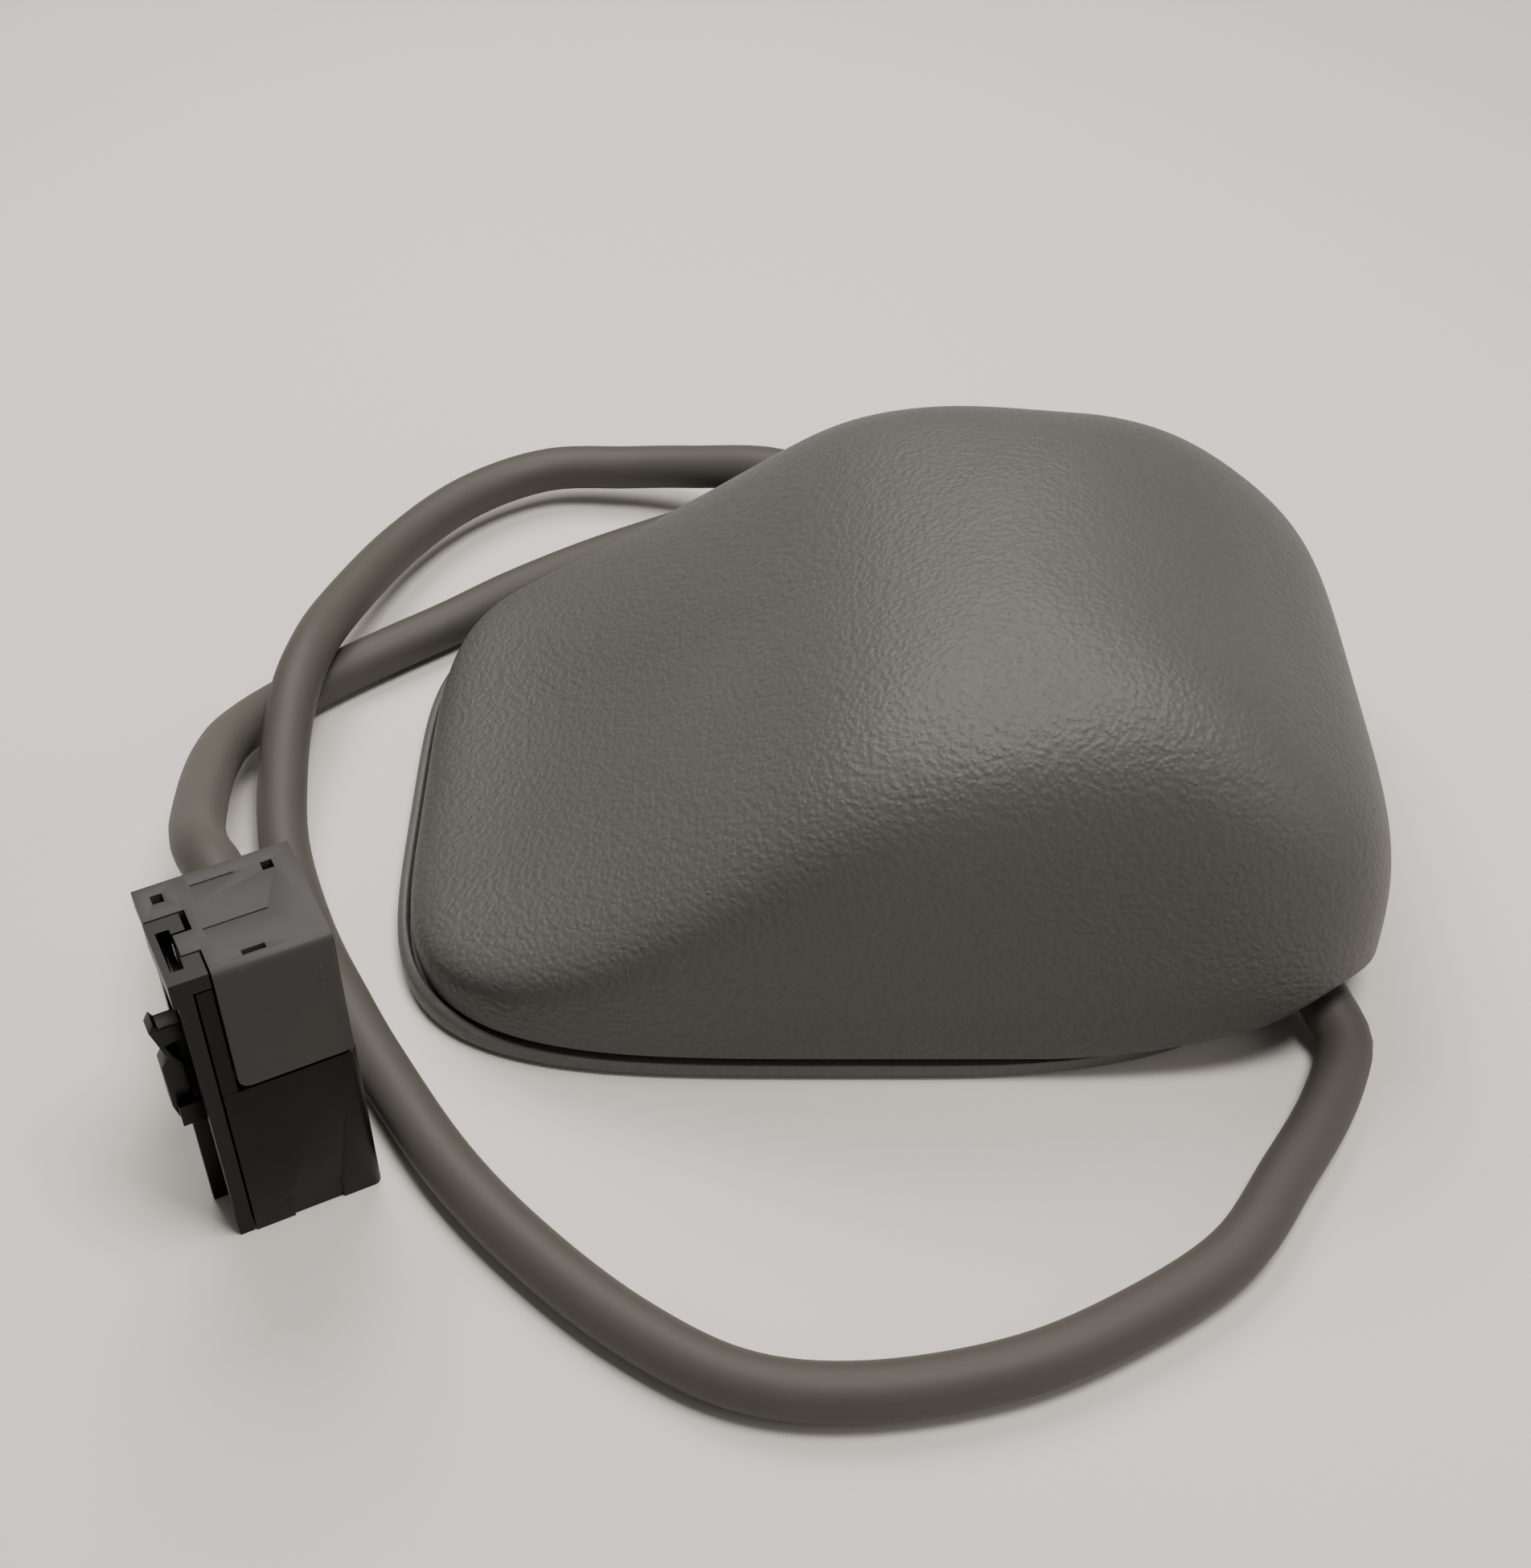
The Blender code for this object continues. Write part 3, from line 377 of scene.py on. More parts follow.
def smooth_through(points, count):
    """Points at even steps along a smooth curve through the route's own points."""
    route = [2 * points[0] - points[1], *points, 2 * points[-1] - points[-2]]
    fine = []
    for a, b, c, d in zip(route, route[1:], route[2:], route[3:]):
        for i in range(24):
            t = i / 24
            fine.append(0.5 * (2 * b + (c - a) * t + (2 * a - 5 * b + 4 * c - d) * t ** 2
                               + (3 * b - a - 3 * c + d) * t ** 3))
    fine.append(points[-1].copy())
    reach = [0.0]
    for before, after in zip(fine, fine[1:]):
        reach.append(reach[-1] + (after - before).length)
    even = []
    spot = 0
    for i in range(count):
        want = reach[-1] * i / (count - 1)
        while spot < len(reach) - 2 and reach[spot + 1] < want:
            spot += 1
        share = (want - reach[spot]) / (reach[spot + 1] - reach[spot])
        even.append(fine[spot].lerp(fine[spot + 1], share))
    return even, reach[-1]


# ---------------------------------------------------------------- the shell's surface

def knot_height(x):
    knots = TREAD_PROFILE
    x = min(max(x / MM, knots[0][0]), knots[-1][0])
    slopes = [(b[1] - a[1]) / (b[0] - a[0]) for a, b in zip(knots, knots[1:])]
    ends = [slopes[0], *[(a + b) / 2 for a, b in zip(slopes, slopes[1:])], slopes[-1]]
    i = max(k for k in range(len(knots) - 1) if knots[k][0] <= x)
    width = knots[i + 1][0] - knots[i][0]
    t = (x - knots[i][0]) / width
    height = (
        (1 + 2 * t) * (1 - t) ** 2 * knots[i][1] + t * (1 - t) ** 2 * width * ends[i]
        + t * t * (3 - 2 * t) * knots[i + 1][1] - t * t * (1 - t) * width * ends[i + 1]
    )
    return height * MM


def tread_height(x):
    """Height of the tread along the middle, with its curve run smooth."""
    steps = (-1.0, -0.5, 0.0, 0.5, 1.0)
    return sum(knot_height(x + step * PROFILE_BLEND) for step in steps) / len(steps)


def plan_point(angle, left, right, half_width, power_left, power_right):
    """The plan outline in the direction of angle."""
    c = math.cos(angle)
    s = math.sin(angle)
    power = power_right if c > 0 else power_left
    reach = right if c > 0 else left
    away = (abs(c / reach) ** power + abs(s / half_width) ** power) ** (-1 / power)
    return away * c, away * s


def edge_height(x, y):
    lift = EDGE_LOW + (EDGE_HIGH - EDGE_LOW) * smooth_step(x, 22 * MM, 64 * MM)
    away = (Vector((x, y)) - CORD_ARCH).length
    return lift + CORD_ARCH_RISE * math.exp(-((away / CORD_ARCH_SPREAD) ** 2))


def shell_point(angle, rise, inset=0.0):
    """A point of the shell in plan direction angle; rise runs from 0 at the edge to 1 on top."""
    x, y = plan_point(
        angle, SHELL_LEFT - inset, SHELL_RIGHT - inset, HALF_WIDTH - inset,
        PLAN_POWER_LEFT, PLAN_POWER_RIGHT,
    )
    side = smooth_step(x, -45 * MM, 45 * MM)
    power = SIDE_POWER_LEFT + (SIDE_POWER_RIGHT - SIDE_POWER_LEFT) * side
    endwards = smooth_step(-math.cos(angle), 0.80, 1.0)
    power += (END_POWER_LEFT - power) * endwards
    corner = 2 ** (-1 / power)
    if rise < 0.5:
        up = corner * rise * 2
        out = (1 - up ** power) ** (1 / power)
    else:
        out = corner * (2 - 2 * rise)
        up = (1 - out ** power) ** (1 / power)
    edge = edge_height(x, y)
    top = tread_height(x * out) - inset
    scoop = math.exp(-(((x - SCOOP_CENTRE) / SCOOP_SPREAD) ** 2)) * math.sin(math.pi * min(up, 1)) ** 2
    inward = math.copysign(SCOOP_DEPTH * scoop * smooth_step(abs(y), 20 * MM, 50 * MM), y)
    return Vector((x * out, y * out - inward, edge + (top - edge) * up))


def inner_height(x, y):
    """Height of the shell's inner face over a point inside it."""
    angle = math.atan2(y, x)
    reach = math.hypot(x, y)
    low = 0.0
    high = 1.0
    for _ in range(24):
        middle = (low + high) / 2
        spot = shell_point(angle, middle, SHELL_WALL)
        if math.hypot(spot.x, spot.y) > reach:
            low = middle
        else:
            high = middle
    return shell_point(angle, low, SHELL_WALL).z


# ---------------------------------------------------------------- finishes

class Wire:
    """A node's output that can be added, multiplied and so on."""

    def __init__(self, finish, socket):
        self.finish = finish
        self.socket = socket

    def sum(self, operation, first, second):
        made = self.finish.node("ShaderNodeMath", {"operation": operation}, {0: first, 1: second})
        return self.finish.out(made, 0)

    def __add__(self, other):
        return self.sum("ADD", self, other)

    def __radd__(self, other):
        return self.sum("ADD", other, self)

    def __sub__(self, other):
        return self.sum("SUBTRACT", self, other)

    def __rsub__(self, other):
        return self.sum("SUBTRACT", other, self)

    def __mul__(self, other):
        return self.sum("MULTIPLY", self, other)


class Finish:
    """One material and the nodes that make it up."""

    def __init__(self, name, metallic=0.0, shine=0.5):
        self.material = bpy.data.materials.new(name)
        self.material.use_nodes = True
        self.tree = self.material.node_tree
        self.shader = self.tree.nodes["Principled BSDF"]
        self.shader.inputs["Metallic"].default_value = metallic
        self.shader.inputs["Specular IOR Level"].default_value = shine
        self.place = self.out(self.node("ShaderNodeTexCoord"), "Object")

    def node(self, kind, settings=None, sockets=None):
        made = self.tree.nodes.new(kind)
        for key, value in (settings or {}).items():
            if key == "stops":
                self.set_stops(made.color_ramp, value)
            else:
                setattr(made, key, value)
        for key, value in (sockets or {}).items():
            self.feed(made.inputs[key], value)
        return made

    def set_stops(self, ramp, stops):
        while len(ramp.elements) < len(stops):
            ramp.elements.new(0.5)
        for element, (position, shade_of) in zip(ramp.elements, stops):
            element.position = position
            element.color = (shade_of, shade_of, shade_of, 1.0)

    def feed(self, socket, value):
        if isinstance(value, Wire):
            self.tree.links.new(value.socket, socket)
        else:
            socket.default_value = value

    def out(self, node, name):
        return Wire(self, node.outputs[name])

    def noise(self, size, detail=2.0, roughness=0.5, place=None):
        """Soft noise with lumps of about size metres."""
        made = self.node("ShaderNodeTexNoise", None, {
            "Vector": place or self.place, "Scale": 1 / size, "Detail": detail, "Roughness": roughness})
        return self.out(made, "Fac")

    def cells(self, size, place=None, feature="SMOOTH_F1"):
        made = self.node("ShaderNodeTexVoronoi", {"feature": feature}, {
            "Vector": place or self.place, "Scale": 1 / size})
        return self.out(made, "Distance")

    def ramp(self, value, *stops):
        made = self.node("ShaderNodeValToRGB", {"stops": stops}, {"Fac": value})
        return self.out(made, "Color")

    def mix(self, factor, first, second):
        made = self.node("ShaderNodeMix", {"data_type": "RGBA"}, {0: factor, 6: first, 7: second})
        return self.out(made, 2)

    def wander(self, size, amount):
        """Coordinates pushed about by a noise, for patterns that shouldn't be regular."""
        push = self.node("ShaderNodeTexNoise", None, {"Vector": self.place, "Scale": 1 / size})
        centred = self.node("ShaderNodeVectorMath", {"operation": "SUBTRACT"}, {
            0: self.out(push, "Color"), 1: (0.5, 0.5, 0.5)})
        scaled = self.node("ShaderNodeVectorMath", {"operation": "SCALE"}, {
            0: self.out(centred, 0), "Scale": amount})
        moved = self.node("ShaderNodeVectorMath", {"operation": "ADD"}, {
            0: self.place, 1: self.out(scaled, 0)})
        return self.out(moved, 0)

    def edge_wear(self, low=0.52, high=0.60):
        """1 on worn outer edges, 0 on flats and hollows."""
        made = self.node("ShaderNodeNewGeometry")
        return self.ramp(self.out(made, "Pointiness"), (low, 0.0), (high, 1.0))

    def colour(self, value):
        self.feed(self.shader.inputs["Base Color"], value)

    def rough(self, value):
        self.feed(self.shader.inputs["Roughness"], value)

    def relief(self, height, depth, strength=1.0):
        """Raise the surface by height times depth metres."""
        made = self.node("ShaderNodeBump", None, {
            "Strength": strength, "Distance": depth, "Height": height})
        self.feed(self.shader.inputs["Normal"], self.out(made, "Normal"))


def tinted(colour, share):
    """A colour made lighter or darker, with full alpha."""
    return tuple(min(part * share, 1.0) for part in colour[:3]) + (1.0,)


def grained_plastic(name, colour, grain, relief_depth, roughness=0.46):
    """Grey plastic with a moulded leather grain, slightly polished on top by use."""
    finish = Finish(name, shine=0.32)
    warped = finish.wander(grain * 2.2, grain * 1.1)
    pebbles = finish.cells(grain, warped)
    fine = finish.noise(grain * 0.55, 3.0, 0.6)
    patches = finish.noise(0.030, 3.0, 0.55)
    grime = finish.noise(0.006, 4.0, 0.6)
    height = 1.0 - pebbles * 1.15 + fine * 0.45
    tone = finish.mix(patches, tinted(colour, 0.93), tinted(colour, 1.07))
    tone = finish.mix(finish.ramp(pebbles, (0.35, 0.0), (0.85, 0.35)), tone, tinted(colour, 0.80))
    specks = finish.ramp(finish.noise(0.0016, 1.0, 0.5), (0.74, 0.0), (0.78, 0.5))
    tone = finish.mix(specks, tone, tinted(colour, 1.35))
    finish.colour(tone)
    finish.rough(roughness - 0.04 + patches * 0.05 + grime * 0.05 + pebbles * 0.08)
    finish.relief(height, relief_depth, 0.9)
    return finish.material


def moulded_plastic(name, colour, roughness, texture=0.00035, depth=0.00001):
    """Fine spark-textured plastic, rubbed a little lighter along its edges."""
    finish = Finish(name, shine=0.16)
    patches = finish.noise(0.009, 3.0, 0.6)
    spark = finish.noise(texture, 2.0, 0.7)
    tone = finish.mix(patches, tinted(colour, 0.88), tinted(colour, 1.12))
    tone = finish.mix(finish.edge_wear() * 0.35, tone, tinted(colour, 1.9))
    dust = finish.ramp(finish.noise(0.0011, 1.0, 0.5), (0.72, 0.0), (0.77, 0.35))
    tone = finish.mix(dust * 0.25, tone, tinted(colour, 2.6))
    finish.colour(tone)
    finish.rough(roughness - 0.05 + patches * 0.08 + spark * 0.06)
    finish.relief(spark, depth, 0.8)
    return finish.material


def cord_jacket(name, colour):
    """Smooth grey cord jacket with faint rubbing marks and a slight mottle."""
    finish = Finish(name, shine=0.28)
    mottle = finish.noise(0.012, 3.0, 0.6)
    fine = finish.noise(0.0007, 3.0, 0.6)
    rubbed = finish.ramp(finish.noise(0.004, 4.0, 0.65), (0.50, 0.0), (0.75, 1.0))
    tone = finish.mix(mottle, tinted(colour, 0.92), tinted(colour, 1.06))
    tone = finish.mix(rubbed * 0.25, tone, tinted(colour, 0.82))
    finish.colour(tone)
    finish.rough(0.50 + mottle * 0.10 + fine * 0.06 - rubbed * 0.05)
    finish.relief(fine * 0.6 + mottle * 0.8, 0.00004, 0.6)
    return finish.material


def soft_rubber(name, colour):
    finish = Finish(name)
    bloom = finish.noise(0.005, 4.0, 0.6)
    pores = finish.noise(0.0004, 2.0, 0.6)
    tone = finish.mix(bloom, tinted(colour, 0.8), tinted(colour, 1.6))
    finish.colour(tone)
    finish.rough(0.74 + bloom * 0.14)
    finish.relief(pores, 0.00002, 0.8)
    return finish.material


def worked_metal(name, colour, roughness, streak=(30.0, 30.0, 900.0)):
    """Drawn or turned metal: fine streaks along one way and faint staining."""
    finish = Finish(name, metallic=1.0)
    stretched = finish.node("ShaderNodeMapping", None, {"Vector": finish.place, "Scale": streak})
    streaks = finish.node("ShaderNodeTexNoise", None, {
        "Vector": finish.out(stretched, "Vector"), "Scale": 4.0, "Detail": 3.0})
    streaks = finish.out(streaks, "Fac")
    stain = finish.noise(0.004, 3.0, 0.6)
    finish.colour(finish.mix(stain, tinted(colour, 0.82), tinted(colour, 1.06)))
    finish.rough(roughness - 0.05 + streaks * 0.12 + stain * 0.08)
    finish.relief(streaks, 0.00001, 0.5)
    return finish.material


def board_laminate(name, colour):
    """Green laminate with faint copper runs under its lacquer."""
    finish = Finish(name)
    runs = finish.node("ShaderNodeTexBrick", None, {
        "Vector": finish.place, "Scale": 260.0, "Mortar Size": 0.03, "Color1": (0, 0, 0, 1),
        "Color2": (0, 0, 0, 1), "Mortar": (1, 1, 1, 1)})
    runs = finish.out(runs, "Color")
    patches = finish.noise(0.008, 2.0, 0.5)
    tone = finish.mix(patches, tinted(colour, 0.85), tinted(colour, 1.15))
    tone = finish.mix(runs, tone, tinted(colour, 1.8))
    finish.colour(tone)
    finish.rough(0.36 + patches * 0.12)
    finish.relief(runs, 0.00003, 0.6)
    return finish.material


def pale_floor(name, colour):
    """Plain pale cloth-covered table."""
    finish = Finish(name)
    cloud = finish.noise(0.16, 3.0, 0.55)
    threads = finish.noise(0.0009, 2.0, 0.7)
    tone = finish.mix(cloud, tinted(colour, 0.975), tinted(colour, 1.015))
    finish.colour(tone)
    finish.rough(0.80 + threads * 0.10)
    finish.relief(threads, 0.00003, 0.5)
    return finish.material


# ---------------------------------------------------------------- settings

def colour_setting(name, description, default):
    return bpy.props.FloatVectorProperty(
        name=name, description=description, subtype="COLOR", size=3, min=0, max=1, default=default)


def length_setting(name, description, default):
    return bpy.props.FloatProperty(
        name=name, description=description, subtype="DISTANCE", unit="LENGTH", default=default)


class PedalShellSettings(bpy.types.PropertyGroup):
    shell_colour: colour_setting("Shell Colour", "Colour of the tread shell", (0.074, 0.072, 0.067))
    base_colour: colour_setting("Base Colour", "Colour of the base pan", (0.098, 0.096, 0.091))
    grain: length_setting("Grain Size", "Size of one pebble of the moulded grain", 0.00085)
    grain_depth: length_setting("Grain Depth", "Depth of the moulded grain", 0.00020)
    segments: bpy.props.IntProperty(
        name="Shell Segments", description="Faces round the shell", default=240, min=48)
    rows: bpy.props.IntProperty(
        name="Shell Rows", description="Faces from the shell's edge to its top", default=56, min=16)


class PedalCordSettings(bpy.types.PropertyGroup):
    cord_colour: colour_setting("Cord Colour", "Colour of the cord jacket", (0.068, 0.062, 0.054))
    cord_radius: length_setting("Cord Radius", "Half the cord's thickness", 0.004)
    cord_points: bpy.props.IntProperty(
        name="Cord Points", description="Points along the cord", default=360, min=80)


class PedalPlugSettings(bpy.types.PropertyGroup):
    hood_colour: colour_setting("Hood Colour", "Colour of the plug's hood", (0.045, 0.042, 0.040))
    housing_colour: colour_setting(
        "Housing Colour", "Colour of the plug's housing", (0.0035, 0.0032, 0.0030))


class PedalStageSettings(bpy.types.PropertyGroup):
    floor_colour: colour_setting("Floor Colour", "Colour of the table", (0.70, 0.66, 0.62))
    key_power: bpy.props.FloatProperty(
        name="Key Light", description="Power of the large soft light", unit="POWER", default=6.5)


# ---------------------------------------------------------------- stage and cord

class PEDAL_OT_stage(bpy.types.Operator):
    """Add the floor, the soft lights and the camera"""

    bl_idname = "pedal.stage"
    bl_label = "Stage"

    def execute(self, context):
        settings = context.scene.pedal_stage
        deselect()
        bpy.ops.mesh.primitive_plane_add(size=4.0, location=(0, 0, 0))
        floor = new_piece("floor")
        floor.data.materials.append(pale_floor("table_cloth", settings.floor_colour))
        self.light("key_light", (-0.14, 0.26, 0.52), 0.34, settings.key_power * 0.50, (1.0, 0.965, 0.925))
        self.light("top_light", (0.15, -0.10, 0.80), 0.26, settings.key_power * 0.95, (1.0, 0.965, 0.925))
        self.light("right_light", (0.75, -0.35, 0.45), 0.5, settings.key_power * 0.26, (1.0, 0.96, 0.92))
        world = bpy.data.worlds.new("soft_room")
        world.use_nodes = True
        world.node_tree.nodes["Background"].inputs["Color"].default_value = (1.0, 0.97, 0.94, 1.0)
        world.node_tree.nodes["Background"].inputs["Strength"].default_value = 0.17
        context.scene.world = world
        self.camera(context)
        return {"FINISHED"}

    def light(self, name, place, size, power, colour):
        deselect()
        bpy.ops.object.light_add(type="AREA", location=place)
        lamp = bpy.context.object
        lamp.name = name
        lamp.data.size = size
        lamp.data.energy = power
        lamp.data.color = colour
        lamp.rotation_euler = Vector(place).to_track_quat("Z", "Y").to_euler()

    def camera(self, context):
        deselect()
        turn = (math.radians(90) - CAMERA_DOWN, 0, 0)
        bpy.ops.object.camera_add(location=CAMERA_PLACE, rotation=turn)
        camera = bpy.context.object
        camera.name = "camera"
        camera.data.lens = CAMERA_LENS
        camera.data.sensor_width = 36.0
        camera.data.clip_start = 0.01
        context.scene.camera = camera


def plug_place():
    return Matrix.Translation(PLUG_CORNER) @ Matrix.Rotation(PLUG_TURN, 4, "Z")


def plug_point(a, n, z):
    return plug_place() @ (Vector((a, n, z)) * MM)


def cord_line(count):
    """The cord's centre line from the strain relief to the plug, and its length."""
    along = (RELIEF_END - RELIEF_START).normalized()
    points = [RELIEF_END + along * GAP, RELIEF_END + along * 6 * MM]
    points += [Vector(point) * MM for point in CORD_ROUTE]
    outside = HOOD_DEPTH + 5.2
    points.append(plug_point(CABLE_A - 0.3, outside + 13, CABLE_Z - 1.8))
    points.append(plug_point(CABLE_A, outside + 7, CABLE_Z))
    points.append(plug_point(CABLE_A, outside + GAP / MM, CABLE_Z))
    return smooth_through(points, count)


class PEDAL_OT_cord(bpy.types.Operator):
    """Add the cord"""

    bl_idname = "pedal.cord"
    bl_label = "Cord"

    def execute(self, context):
        settings = context.scene.pedal_cord
        line, _ = cord_line(settings.cord_points)
        run = strand("cord_run", line, settings.cord_radius, 8)
        jacket = cord_jacket("cord_jacket_grey", settings.cord_colour)
        finish_piece(run, "base", "cord", jacket)
        return {"FINISHED"}


# ---------------------------------------------------------------- body pieces

class PEDAL_OT_tread_cover(bpy.types.Operator):
    """Add the grained rocking shell"""

    bl_idname = "pedal.tread_cover"
    bl_label = "Tread Cover"

    def execute(self, context):
        settings = context.scene.pedal_shell
        deselect()
        bpy.ops.mesh.primitive_uv_sphere_add(
            segments=settings.segments, ring_count=settings.rows * 2, radius=1.0)
        cover = new_piece("tread_cover")
        bpy.ops.object.mode_set(mode="EDIT")
        bpy.ops.mesh.select_all(action="SELECT")
        bpy.ops.mesh.bisect(plane_co=(0, 0, 0), plane_no=(0, 0, 1), clear_inner=True, threshold=0.0001)
        bpy.ops.object.mode_set(mode="OBJECT")
        for vertex in cover.data.vertices:
            flat = math.hypot(vertex.co.x, vertex.co.y)
            rise = min(max(math.atan2(vertex.co.z, flat) / (math.pi / 2), 0.0), 1.0)
            angle = math.atan2(vertex.co.y, vertex.co.x)
            vertex.co = shell_point(angle, rise)
        outward(cover)
        apply_modifier(cover, "SOLIDIFY", thickness=SHELL_WALL, offset=-1, use_even_offset=True)
        apply_modifier(
            cover, "BEVEL", width=0.5 * MM, segments=3, limit_method="ANGLE",
            angle_limit=math.radians(50), use_clamp_overlap=True)
        shade(cover, 40)
        grain = grained_plastic(
            "grained_shell_grey", settings.shell_colour, settings.grain, settings.grain_depth)
        finish_piece(cover, "tread", "tread_shell", grain)
        return {"FINISHED"}


class PEDAL_OT_tread_ribs(bpy.types.Operator):
    """Add the ribs and posts inside the shell"""

    bl_idname = "pedal.tread_ribs"
    bl_label = "Tread Ribs and Posts"

    def execute(self, context):
        settings = context.scene.pedal_shell
        pieces = []
        for side in (-1, 1):
            y = side * RIB_Y / MM
            top = min(inner_height(x * MM, y * MM) for x in (-14, 14)) / MM + 0.6
            rib = block(f"rib_{side}", (-14, y - 1.5, 8), (14, y + 1.5, top))
            pieces.append(combine(rib, pivot_bore(y), "DIFFERENCE"))
        for x, y, bottom, radius in SHELL_POSTS:
            ring = [(x + (radius + 1) * math.cos(a), y + (radius + 1) * math.sin(a)) for a in range(6)]
            top = min(inner_height(a * MM, b * MM) for a, b in ring) / MM + 0.6
            post = turned("post", (
                (radius - 0.4, bottom), (radius, bottom + 0.4), (radius, top - 2), (radius + 1.0, top)), 32)
            pieces.append(put(post, Matrix.Translation((x * MM, y * MM, 0))))
        ribs = merged("tread_ribs", pieces)
        soften(ribs, 0.25, 2)
        finish_piece(ribs, "tread", None, moulded_plastic(
            "shell_inner_grey", settings.shell_colour, 0.50))
        return {"FINISHED"}


class PEDAL_OT_base_pan(bpy.types.Operator):
    """Add the base pan with its rim, uprights and standoffs"""

    bl_idname = "pedal.base_pan"
    bl_label = "Base Pan"

    def execute(self, context):
        settings = context.scene.pedal_shell
        pan = self.pan()
        for i, (x, y) in enumerate(FOOT_PLACES):
            seat = rod("seat", Vector((x, y, -1)) * MM, Vector((x, y, 2.0)) * MM, 6.3 * MM, 48)
            combine(pan, seat, "DIFFERENCE")
        along = (RELIEF_END - RELIEF_START).normalized()
        seat = rod("relief_seat", RELIEF_START - along * MM, RELIEF_END + along * 12 * MM, 6.3 * MM, 48)
        combine(pan, seat, "DIFFERENCE")
        pieces = [pan]
        for side in (-1, 1):
            y = side * UPRIGHT_Y / MM
            upright = block("upright", (-8, y - 2.5, 3.0), (8, y + 2.5, 22))
            bevel_edges(upright, lambda a, b: min(a.z, b.z) > 20 and abs(a.x - b.x) < 1, 4.0, 6)
            pieces.append(combine(upright, pivot_bore(y), "DIFFERENCE"))
        for x, y in BOARD_CORNERS:
            post = turned("standoff", ((3.6, 3.2), (3.0, 4.2), (3.0, 7.7), (1.4, 7.7), (1.4, 4.6)), 32)
            pieces.append(put(post, Matrix.Translation((x * MM, y * MM, 0))))
        base = merged("base_pan", pieces)
        shade(base, 35)
        finish_piece(base, "base", "base_tray", grained_plastic(
            "base_rim_grey", settings.base_colour, settings.grain, settings.grain_depth * 0.5, 0.48))
        return {"FINISHED"}

    def pan(self):
        """A disc drawn out ring by ring up its side and over a lip that stands outside the shell."""
        deselect()
        bpy.ops.mesh.primitive_circle_add(vertices=240, radius=1.0, fill_type="NGON")
        pan = new_piece("pan")
        bpy.ops.object.mode_set(mode="EDIT")
        bpy.ops.mesh.select_all(action="SELECT")
        for _ in BASE_SECTION[1:]:
            bpy.ops.mesh.extrude_region_move(TRANSFORM_OT_translate={"value": (0, 0, 1)})
        bpy.ops.object.mode_set(mode="OBJECT")
        for vertex in pan.data.vertices:
            inset, height = BASE_SECTION[round(vertex.co.z)]
            angle = math.atan2(vertex.co.y, vertex.co.x)
            x, y = plan_point(
                angle, (BASE_LEFT - inset) * MM, (BASE_RIGHT - inset) * MM,
                (BASE_HALF_WIDTH - inset * 0.6) * MM, BASE_POWER_LEFT, BASE_POWER_RIGHT)
            shell_x, shell_y = plan_point(
                angle, SHELL_LEFT, SHELL_RIGHT, HALF_WIDTH, PLAN_POWER_LEFT, PLAN_POWER_RIGHT)
            spare = math.hypot(x, y) + inset * MM - math.hypot(shell_x, shell_y)
            lip = smooth_step(spare, 0.8 * MM, 2.2 * MM)
            if height > BASE_TOP:
                height = BASE_TOP + (height - BASE_TOP) * lip
            vertex.co = (x, y, height * MM)
        return outward(pan)


class PEDAL_OT_strain_relief(bpy.types.Operator):
    """Add the ribbed strain relief"""

    bl_idname = "pedal.strain_relief"
    bl_label = "Strain Relief"

    def execute(self, context):
        length = (RELIEF_END - RELIEF_START).length / MM
        profile = [(4.2, 0.0), (6.0, 0.3)]
        rings = 4
        for i in range(rings):
            start = 1.2 + i * (length - 2.0) / rings
            radius = 6.0 - 1.0 * (i + 0.5) / rings
            step = (length - 2.0) / rings
            profile += [(radius, start), (radius, start + step * 0.62), (radius - 0.7, start + step * 0.72),
                        (radius - 0.7, start + step * 0.92)]
        profile += [(4.9, length - 0.6), (4.7, length), (4.1, length)]
        relief = turned("cord_relief", profile, 48)
        along = RELIEF_END - RELIEF_START
        put(relief, Matrix.Translation(RELIEF_START) @ along.to_track_quat("Z", "Y").to_matrix().to_4x4())
        shade(relief, 30)
        rubber = soft_rubber("relief_rubber", (0.06, 0.06, 0.058))
        finish_piece(relief, "base", "strain_relief", rubber)
        return {"FINISHED"}


# ---------------------------------------------------------------- plug pieces

class PEDAL_OT_plug_housing(bpy.types.Operator):
    """Add the plug's black housing"""

    bl_idname = "pedal.plug_housing"
    bl_label = "Plug Housing"

    def execute(self, context):
        settings = context.scene.pedal_plug
        housing = block("plug_body", (0.0, 0.4, 0.0), (18.2, 18.1, 29.0))
        bevel_edges(housing, lambda a, b: abs(a.z - b.z) > 5 and a.x > 10, 1.2, 5)
        # Neck inside the hood, column beside it, wells for the contacts and wires, keys, front step
        add_block(housing, (1.2, 2.2, 25), (16.2, 16.2, 34))
        add_block(housing, (0.0, 0.6, 28), (2.1, 12.2, 48.9))
        cut_block(housing, (2.0, 2.4, -1), (16.2, 16.0, 24))
        cut_block(housing, (4.0, 4.6, 20), (14.2, 14.0, 40))
        cut_block(housing, (17.8, 5.5, -1), (19.0, 7.5, 20))
        cut_block(housing, (17.8, 11.5, -1), (19.0, 13.5, 20))
        cut_block(housing, (5.5, -0.5, -1), (12.6, 0.75, 5.0))
        soften(housing, 0.35, 2, 40)
        put(housing, plug_place())
        shade(housing)
        finish_piece(housing, "base", "plug_housing", moulded_plastic(
            "plug_housing_black", settings.housing_colour, 0.42))
        return {"FINISHED"}


